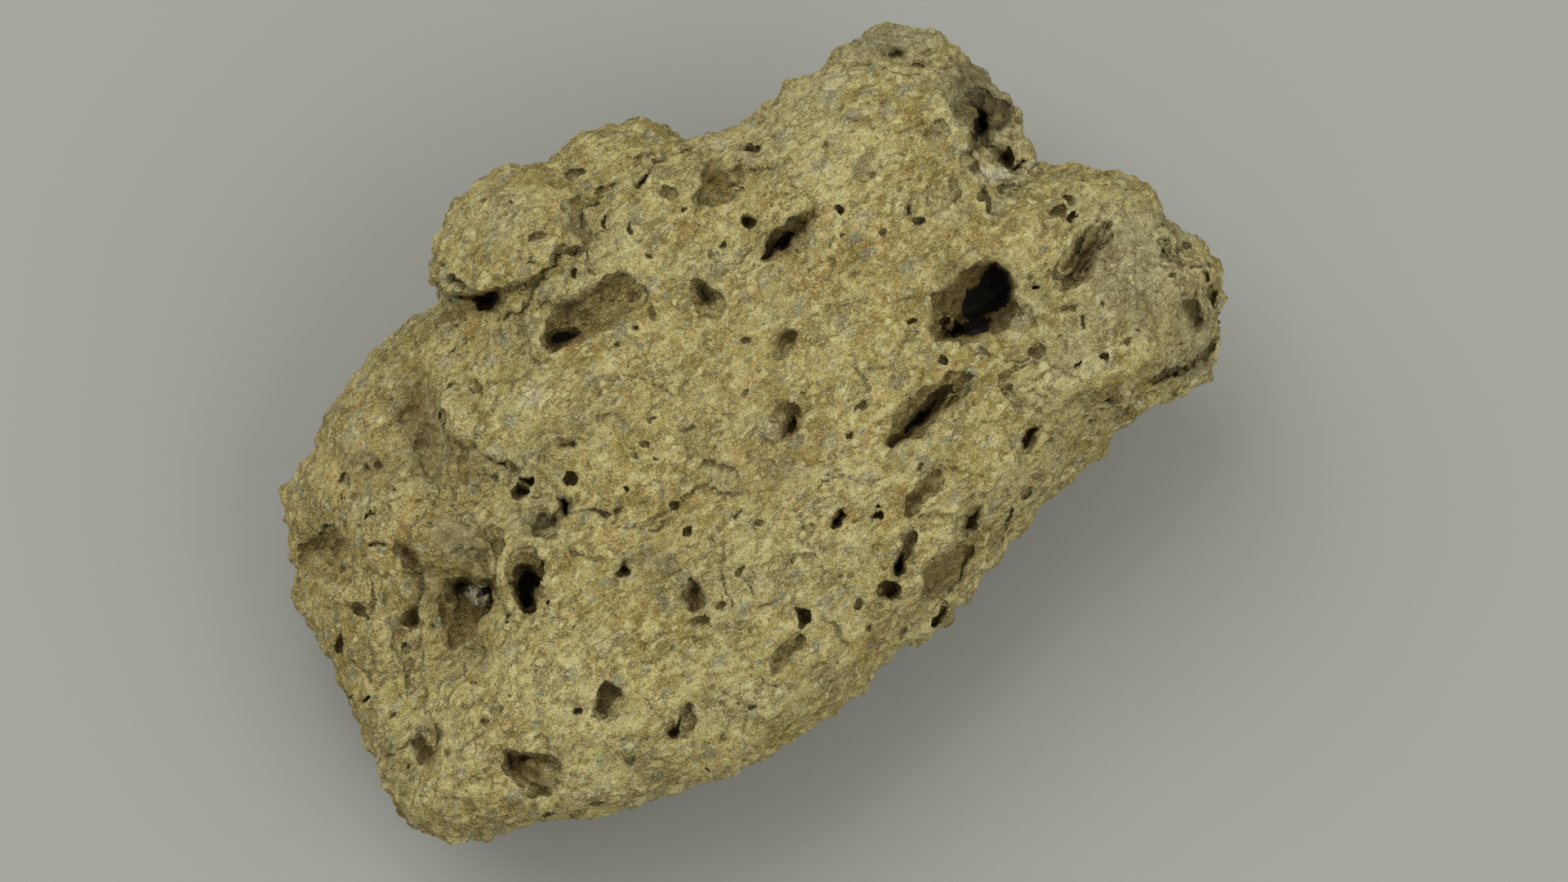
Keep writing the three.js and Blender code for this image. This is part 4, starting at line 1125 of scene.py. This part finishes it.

# %% [markdown]
# ## Spots of colour
#
# Iron stained some patches ochre and others weathered pale; the pale spot on the mound is a painted
# highlight. Some lapilli and the right shoulder are grey, and some broad grey spots are painted shade on
# shaded faces. Brown dirt lies in the hollows, and the dirt spots also paint the shade under ledges and
# in the pits. These follow no rule, so they are put down one by one, each as a soft ellipse with a strength.

# %% Place the spots
SPOTS = {
    "ochre": [
        # at, size, turn, strength
        ((712, 478), (90, 50), 20, 0.6), ((874, 471), (130, 60), 10, 0.5), ((805, 603), (50, 60), 0, 0.5),
        ((950, 560), (240, 100), 25, 0.55), ((960, 350), (180, 60), 20, 0.6),
        ((1080, 300), (90, 60), 0, 0.5), ((1050, 640), (200, 80), 20, 0.3), ((580, 400), (120, 50), 10, 0.5),
        ((512, 520), (60, 170), 8, 0.7), ((400, 690), (100, 90), 0, 0.8), ((390, 470), (90, 120), 50, 0.4),
        ((430, 600), (220, 440), 0, 0.65), ((540, 640), (170, 220), 0, 0.5),
        ((1410, 466), (110, 18), 22, 0.6), ((790, 480), (150, 60), 10, 0.35),
        ((556, 765), (80, 70), 50, 0.8), ((1060, 790), (90, 40), 30, 0.5), ((880, 240), (70, 60), 60, 0.7),
        ((556, 552), (40, 40), 0, 0.6), ((725, 385), (130, 60), 25, 0.8), ((860, 280), (60, 60), 70, 0.5),
        ((1330, 482), (110, 24), 18, 0.6), ((1080, 350), (120, 90), 0, 0.3), ((650, 500), (60, 40), 0, 0.3),
        ((430, 760), (80, 120), 0, 0.35), ((760, 660), (120, 40), 0, 0.35), ((700, 430), (60, 30), 30, 0.7),
        ((640, 722), (40, 50), 80, 0.6), ((1160, 400), (70, 40), 30, 0.5), ((1150, 470), (80, 30), 45, 0.5),
        ((1050, 560), (80, 60), 0, 0.3), ((900, 620), (60, 40), 0, 0.3),
    ],
    # weathered pale patches, the white ledge and the crystal; the first spot, on the mound, is a painted
    # highlight
    "pale": [
        ((650, 484), (80, 44), 10, 0.82), ((614, 495), (50, 40), 0, 0.5), ((1020, 96), (80, 36), 35, 0.8),
        ((880, 178), (60, 30), 10, 0.8), ((960, 135), (150, 44), 38, 0.55),
        ((1217, 212), (74, 34), -10, 1.0), ((690, 850), (90, 160), 60, 0.5), ((1050, 590), (80, 60), 0, 0.5),
        ((1290, 468), (120, 60), 20, 0.7), ((640, 490), (60, 60), 0, 0.4), ((700, 960), (140, 60), 10, 0.5),
        ((560, 890), (60, 100), 0, 0.35), ((900, 860), (120, 60), 30, 0.35), ((1262, 350), (50, 70), 0, 0.5),
        ((1290, 445), (90, 26), 10, 0.4), ((690, 660), (80, 30), 0, 0.3), ((581, 728), (42, 34), 0, 1.3),
        ((744, 783), (70, 30), 10, 0.5), ((697, 956), (50, 60), 0, 0.45), ((834, 809), (34, 22), 30, 0.5),
        ((950, 170), (60, 60), 40, 0.5), ((1000, 660), (90, 60), 0, 0.3), ((1000, 112), (120, 60), 40, 0.6),
        ((1010, 190), (140, 90), 40, 0.4), ((905, 190), (90, 40), 10, 0.6), ((560, 480), (60, 40), 0, 0.4),
    ],
    # grey lapilli and grey stone; the broad spots on the peak's right face, by the boulder and on the band
    # outside the right shoulder are painted shade
    "grey": [
        ((1390, 330), (160, 190), 0, 0.75), ((1205, 118), (110, 140), 30, 1.0),
        ((1462, 400), (70, 110), 0, 0.7), ((1090, 50), (150, 50), 0, 1.0), ((600, 270), (120, 90), 30, 0.35),
        ((700, 270), (30, 46), 80, 0.7), ((1160, 240), (60, 60), 0, 0.3), ((1330, 420), (120, 60), 10, 0.4),
        ((1147, 163), (36, 30), 90, 0.8), ((1219, 255), (22, 32), -20, 0.9), ((425, 530), (20, 26), 0, 0.9),
        ((647, 393), (28, 10), 35, 0.9), ((885, 579), (34, 24), 0, 0.6), ((1100, 237), (34, 22), 0, 0.6),
        ((540, 600), (60, 60), 0, 0.3), ((560, 660), (90, 50), -30, 0.55), ((660, 650), (70, 40), -20, 0.4),
        ((947, 519), (40, 26), 35, 0.6), ((704, 370), (50, 26), 20, 0.6), ((1088, 194), (24, 13), 0, 0.9),
        ((733, 540), (22, 16), 0, 0.6), ((1225, 182), (28, 20), 0, 0.6), ((1180, 262), (30, 20), 20, 0.6),
        ((800, 800), (60, 30), 30, 0.3), ((880, 583), (34, 20), 10, 0.7), ((964, 570), (36, 28), 30, 0.6),
        ((901, 601), (30, 18), 0, 0.6), ((833, 585), (20, 14), 0, 0.7), ((1012, 525), (20, 12), 30, 0.8),
        ((922, 712), (30, 36), 0, 0.5), ((1048, 759), (12, 22), 10, 0.8), ((980, 664), (14, 11), 0, 0.8),
        ((1033, 554), (15, 11), 20, 0.8), ((886, 630), (20, 13), 0, 0.7), ((928, 667), (15, 10), 20, 0.8),
        ((800, 688), (40, 24), 10, 0.6), ((860, 714), (16, 11), 0, 0.7), ((910, 751), (24, 16), 30, 0.7),
        ((876, 856), (22, 14), 20, 0.7), ((581, 851), (14, 24), 0, 0.8), ((776, 914), (18, 12), 30, 0.7),
        ((718, 914), (16, 12), 0, 0.6), ((640, 860), (20, 14), 40, 0.6), ((706, 812), (24, 14), 10, 0.6),
        ((560, 268), (14, 10), 0, 0.8), ((596, 312), (16, 11), 30, 0.8), ((548, 330), (14, 10), 0, 0.8),
        ((612, 222), (14, 10), 60, 0.7), ((573, 225), (12, 9), 0, 0.7), ((720, 455), (18, 11), 30, 0.7),
        ((867, 430), (16, 10), 0, 0.6), ((1100, 440), (18, 11), 30, 0.6), ((1040, 400), (16, 12), 0, 0.6),
        ((440, 610), (18, 14), 0, 0.7), ((408, 500), (24, 20), 0, 0.7), ((486, 468), (12, 18), 20, 0.6),
        ((520, 900), (14, 10), 0, 0.7), ((1026, 126), (18, 9), -30, 0.8), ((1054, 161), (14, 10), 60, 0.8),
        ((1019, 168), (16, 12), 30, 0.7), ((1068, 197), (14, 9), 20, 0.8), ((1099, 195), (20, 11), 30, 0.8),
        ((993, 212), (12, 16), 20, 0.8), ((997, 153), (13, 8), 0, 0.7), ((1121, 241), (16, 12), 0, 0.7),
        ((1054, 261), (12, 9), 40, 0.8), ((818, 740), (19, 25), 0, 0.8), ((753, 430), (18, 12), 30, 0.8),
        ((681, 577), (16, 11), 0, 0.8), ((801, 501), (18, 12), 20, 0.8), ((1087, 122), (16, 10), 40, 0.7),
        ((988, 190), (16, 10), 60, 0.7), ((958, 174), (14, 10), 0, 0.7), ((1036, 272), (12, 9), 0, 0.8),
        ((1018, 230), (18, 10), 30, 0.6), ((1456, 440), (90, 60), 30, 0.8),
        ((1250, 60), (160, 60), -40, 0.6),
    ],
    # dirt, and painted shade: under ledges and the boulder, in the valley, on shaded faces and in the pits,
    # where strong spots also let the deepest parts go black
    "dirt_and_shade": [
        ((930, 575), (320, 110), 15, 0.26), ((830, 700), (220, 100), 0, 0.26),
        ((1190, 345), (114, 84), 20, 0.45), ((490, 420), (130, 50), 45, 0.3),
        ((460, 575), (110, 70), 0, 0.3), ((560, 660), (110, 64), 0, 0.4), ((1400, 390), (110, 90), 0, 0.3),
        ((1340, 300), (120, 120), 0, 0.18), ((390, 500), (100, 100), 45, 0.2),
        ((1218, 352), (88, 54), 75, 1.0), ((1188, 404), (84, 26), 12, 0.95),
        ((1196, 372), (60, 56), 30, 0.85), ((1125, 513), (96, 18), 46, 1.0), ((957, 300), (66, 16), 46, 1.0),
        ((692, 414), (52, 16), 12, 0.9), ((735, 345), (70, 14), 15, 0.4), ((702, 372), (56, 20), 45, 0.6),
        ((862, 362), (28, 26), -40, 0.9), ((972, 516), (40, 11), 64, 1.0), ((965, 412), (24, 14), 60, 0.4),
        ((950, 433), (16, 10), 0, 0.5), ((646, 720), (62, 28), 85, 1.0), ((692, 619), (30, 9), -57, 1.0),
        ((639, 602), (20, 14), 0, 0.9), ((645, 587), (14, 9), 0, 0.8), ((564, 717), (26, 12), 0, 1.0),
        ((590, 710), (34, 8), 8, 0.8), ((605, 722), (20, 7), 90, 0.7), ((508, 756), (26, 11), 85, 0.7),
        ((598, 369), (30, 22), 20, 1.0), ((574, 370), (46, 8), 5, 1.0), ((1103, 692), (34, 15), 66, 1.0),
        ((1022, 633), (28, 18), 60, 1.0), ((1088, 725), (18, 12), 0, 0.8), ((984, 754), (28, 11), -50, 0.9),
        ((955, 800), (20, 10), 50, 0.5), ((737, 856), (38, 12), 80, 0.6), ((824, 894), (18, 14), 30, 0.6),
        ((634, 926), (50, 11), 5, 0.7), ((674, 935), (30, 9), -60, 0.5), ((851, 722), (36, 13), 100, 0.8),
        ((761, 696), (20, 13), 80, 1.0), ((870, 212), (40, 40), 60, 0.6), ((515, 520), (190, 60), 97, 0.5),
        ((562, 384), (96, 26), 12, 0.45), ((745, 165), (110, 50), -10, 0.2),
        ((628, 932), (34, 22), -30, 0.9), ((655, 948), (60, 36), -40, 0.5), ((1134, 598), (66, 22), 53, 0.4),
        ((1152, 704), (80, 36), 57, 0.5), ((1190, 634), (54, 20), 58, 0.45), ((918, 268), (18, 13), 20, 0.9),
        ((920, 181), (24, 9), -20, 0.9), ((1198, 160), (50, 26), 75, 1.0), ((1140, 84), (90, 8), -12, 0.3),
        ((1190, 96), (80, 56), -45, 0.5), ((1212, 136), (70, 52), 0, 0.5), ((657, 292), (24, 14), 10, 0.6),
        ((694, 545), (24, 16), 10, 0.4), ((1228, 190), (24, 18), -20, 0.9), ((1326, 318), (96, 40), 60, 0.6),
        ((1456, 452), (70, 26), 30, 0.5), ((1362, 492), (24, 11), 20, 0.6), ((1258, 538), (52, 6), 58, 1.0),
        ((1122, 602), (60, 7), 53, 0.4), ((1196, 632), (40, 13), 58, 0.45), ((1131, 712), (50, 9), 75, 0.6),
        ((1465, 386), (52, 34), -65, 0.75), ((1100, 67), (34, 15), -20, 0.6),
        ((1152, 757), (36, 9), 60, 0.9), ((497, 678), (36, 20), -60, 0.55), ((556, 548), (36, 26), 0, 0.2),
        ((404, 648), (24, 8), 0, 0.6), ((413, 674), (26, 10), 80, 0.6), ((700, 275), (50, 22), 70, 0.4),
        ((523, 920), (34, 18), 80, 0.4), ((735, 632), (20, 7), -30, 0.8),
    ],
}
SPOT_FALL = (0.3, 1.3)  # where a spot begins to fade and where it ends, as for a swell


def spots_at(x, y, spots):
    """How strong the strongest of the spots is at each place."""
    strongest = np.zeros(len(x))
    for at, size, turn, strength in spots:
        reach = ellipse(x, y, at, size, turn)[2]
        strongest = np.maximum(strongest, strength * (1 - smoothstep(*SPOT_FALL, reach)))
    return strongest


x, y, height = seen_at(vectors_of(block.data))
facing = front_share(x, y, height)
x, y = bent(x, y)
for name, spots in SPOTS.items():
    store(block.data, name, spots_at(x, y, spots) * facing)
store(block.data, "pit", large_depth_at(x, y) * facing)
store(block.data, "hole", small_depth_at(x, y) * facing)
print(sum(len(spots) for spots in SPOTS.values()), "spots")

# %% [markdown]
# ## Tuff
#
# The finish is dull all over: ash is matte. Its colour is a stack of layers, from the broad to the
# fine: mottled tan ash and stains, lapilli and specks, fibres and thin lines, then hollows darkened with
# painted shade and partly dirt, edges lightened with a painted highlight, and the finest grain. Every
# layer reads Object coordinates or the numbers measured above, so nothing slides when the stone is turned.

# %% Colours and layers
TAN = (0.290, 0.238, 0.079, 1)
TAN_DARK = (0.210, 0.160, 0.040, 1)
CREAM = (0.430, 0.376, 0.150, 1)
ORANGE = (0.310, 0.188, 0.052, 1)
BROWN = (0.133, 0.085, 0.020, 1)
PALE = (0.480, 0.448, 0.240, 1)
GREY = (0.190, 0.190, 0.120, 1)
SLATE = (0.118, 0.122, 0.088, 1)
OLIVE = (0.285, 0.262, 0.120, 1)
# the next three colours are painted shade: olive shade in pits, a dark brown that is also dirt, and the
# near-black shadow of the deepest pits
SHADE = (0.070, 0.068, 0.034, 1)
DIRT_AND_SHADE = (0.048, 0.029, 0.006, 1)
PIT_SHADOW_BLACK = (0.006, 0.004, 0.002, 1)
WHITE = (0.560, 0.540, 0.410, 1)
LINE_WIDTH = 0.05  # as a step of the noise that draws the lines


def painted(tree, colour, *layers):
    """A colour with layers over it, each how much it covers and its own colour."""
    for share, over in layers:
        values = {"Factor": share, "A": colour, "B": over}
        colour = add_node(tree, "ShaderNodeMix", {"data_type": "RGBA"}, values)
    return colour


def squiggles(tree, place, grain):
    """Thin bent lines, drawn where a noise crosses its middle value."""
    value = cloud(tree, place, grain, 4.0, 0.65) - 0.5
    return 1 - value.math("ABSOLUTE", value).ramp(0.0, LINE_WIDTH)


def number_of(tree, name):
    return add_node(tree, "ShaderNodeAttribute", {"attribute_name": name})["Fac"]

# %% What the layers read
tuff.use_nodes = True
paint = tuff.node_tree
paint.nodes.clear()
place = add_node(paint, "ShaderNodeTexCoord")["Object"]
laid = along_bedding(paint, place, BEDDING_STRETCH)

crevice, pit, hole, dirt_and_shade = (number_of(paint, name) for name in ("crevice", "pit", "hole", "dirt_and_shade"))
ochre, grey, pale = (number_of(paint, name) for name in ("ochre", "grey", "pale"))
white = pale.ramp(0.7, 1.0)
clean = 1 - white

# tree, coordinates, grain, detail, roughness, bend
patch = cloud(paint, place, 9 * MM, 3, 0.6)
olive = cloud(paint, place, 13 * MM, 3, 0.6)
stain = cloud(paint, place, 2.2 * MM, 4, 0.75)
mottle = cloud(paint, laid, 2.6 * MM, 4, 0.7)
smudge = cloud(paint, laid, 1.8 * MM, 3, 0.65, 0.5)
speck = cloud(paint, laid, 1.0 * MM, 2, 0.6)
fibre = cloud(paint, laid, 1.3 * MM, 3, 0.6, 0.4)
crumb = cloud(paint, laid, 0.9 * MM, 3, 0.7)
grain = cloud(paint, place, 0.3 * MM, 1.5, 0.7)
pale_line = squiggles(paint, place, 2.3 * MM) * patch.ramp(0.4, 0.55)
dark_line = squiggles(paint, laid, 3.1 * MM) * cloud(paint, place, 6 * MM, 3, 0.6).ramp(0.42, 0.56)
raised, sunk, number = lapilli(paint, place)
chip, _, chip_number = lapilli(paint, place, CHIP_SIZE)
print(len(paint.nodes), "nodes for the patterns")

# %% Paint the rock
rust = (stain.ramp(0.5, 0.62) * patch.ramp(0.4, 0.6) * 0.5).either(ochre * 0.6)
# painted shade, partly dirt: pits and small holes darken with their depth
hollow = (pit.ramp(0.4, 3.6) * 0.7).either(hole.ramp(0.4, 2.6) * 0.4) * clean
# painted shadow: the deepest parts of pits go near black where the dirt and shade spots are strong
black = pit.ramp(2.0, 9.0) * dirt_and_shade.ramp(0.3, 0.85) * clean + (crumb - 0.5) * 1.2
# what the hollows darken to: dirt brown, with painted olive shade where grey spots are
inside = painted(
    paint,
    DIRT_AND_SHADE,
    (crumb.ramp(0.38, 0.5), BROWN),
    (crumb.ramp(0.52, 0.62), TAN_DARK),
    (grey * 0.7, SHADE),
)
colour = painted(
    paint,
    TAN_DARK,
    # ash and its stains
    (patch.ramp(0.36, 0.62), TAN),
    (mottle.ramp(0.48, 0.6) * 0.65, CREAM),
    (rust, ORANGE),
    (olive.ramp(0.48, 0.62) * 0.5, OLIVE),
    # grey spots, some of them painted shade on shaded faces
    (grey * 0.75, GREY),
    # pale spots, one of them a painted highlight on the mound
    (pale * 0.65, PALE),
    # lapilli and specks
    (smudge.ramp(0.56, 0.66) * 0.6, GREY),
    (raised * 0.8, painted(paint, GREY, (number, SLATE))),
    (chip * 0.7, painted(paint, SLATE, (chip_number.ramp(0.4, 0.6), PALE))),
    (speck.ramp(0.64, 0.7) * 0.7, SLATE),
    # fibres and thin lines
    ((1 - fibre.ramp(0.37, 0.46)) * 0.5, BROWN),
    (fibre.ramp(0.54, 0.64) * 0.45, PALE),
    (pale_line * 0.4, PALE),
    (dark_line * 0.55, BROWN),
    # small holes and crevices darkened with painted shade and edges lightened with a painted highlight,
    # then pits darkened with dirt and painted shade, the dirt and shade spots, and the white ledge
    (sunk * 0.7, DIRT_AND_SHADE),
    (crevice.ramp(0.03, 0.17) * 0.6, DIRT_AND_SHADE),
    ((0 - crevice).ramp(0.05, 0.2) * 0.2, PALE),
    (hollow, inside),
    (dirt_and_shade.ramp(0.1, 0.9, smooth=False) * 0.9 * clean, DIRT_AND_SHADE),
    (white * crumb.ramp(0.34, 0.56), WHITE),
    # the finest grain, and the painted near-black shadow of the deepest pits
    ((1 - grain.ramp(0.3, 0.48)) * 0.7, BROWN),
    (grain.ramp(0.52, 0.7) * (0.6 - 0.55 * dirt_and_shade.ramp(0.1, 0.6)), PALE),
    (black.ramp(0.28, 0.52), PIT_SHADOW_BLACK),
)

relief_height = fibre * 0.8 + grain * 0.4 - dark_line * 0.25
bump_values = {"Height": relief_height, "Strength": 1.0, "Distance": 1.2 * MM}
bump = add_node(paint, "ShaderNodeBump", {}, bump_values)
finish = {"Base Color": colour, "Roughness": 0.95, "Specular IOR Level": 0.2, "Normal": bump}
shader = add_node(paint, "ShaderNodeBsdfPrincipled", {}, finish)
add_node(paint, "ShaderNodeOutputMaterial", {}, {"Surface": shader})
print(len(paint.nodes), "nodes in the material")

# %% [markdown]
# ## Floor and light
#
# A plain pale floor, and light from everywhere with a large soft lamp above and a weaker one across
# from it, so that hollows darken and nothing glares.

# %% Floor, sky and lamps
FLOOR_REACH = 3  # metres from the middle to each side
FLOOR = {"Base Color": (0.235, 0.24, 0.222, 1), "Roughness": 0.9}
SKY = {"Color": (1.0, 0.98, 0.88, 1), "Strength": 0.77}
LAMPS = [
    # name, place, size, power
    ("lamp", Vector((-0.5, 0.35, 1.1)), 1.1, 11.2),
    ("fill lamp", Vector((0.8, -0.6, 0.9)), 1.2, 10.5),
]


def set_up(owner, node_name, values):
    """Gives a new material's or world's own node its values."""
    owner.use_nodes = True
    for name, value in values.items():
        owner.node_tree.nodes[node_name].inputs[name].default_value = value


corners = [(x * FLOOR_REACH, y * FLOOR_REACH, 0) for x, y in ((-1, -1), (1, -1), (1, 1), (-1, 1))]
floor = add_object("floor", bpy.data.meshes.new("floor"))
floor.data.from_pydata(corners, [], [(0, 1, 2, 3)])
floor.data.materials.append(bpy.data.materials.new("floor"))
set_up(floor.data.materials[0], "Principled BSDF", FLOOR)

bpy.context.scene.world = bpy.data.worlds.new("sky")
set_up(bpy.context.scene.world, "Background", SKY)

for name, at, size, power in LAMPS:
    lamp = add_object(name, bpy.data.lights.new(name, "AREA"))
    lamp.data.energy = power
    lamp.data.size = size
    lamp.location = at
    point_along(lamp, -at)
bpy.context.scene.view_settings.view_transform = "Standard"
print(len(LAMPS), "lamps")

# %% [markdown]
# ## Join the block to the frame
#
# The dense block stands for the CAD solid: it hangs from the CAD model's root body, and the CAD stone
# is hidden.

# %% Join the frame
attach(block, "root")
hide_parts("stone")
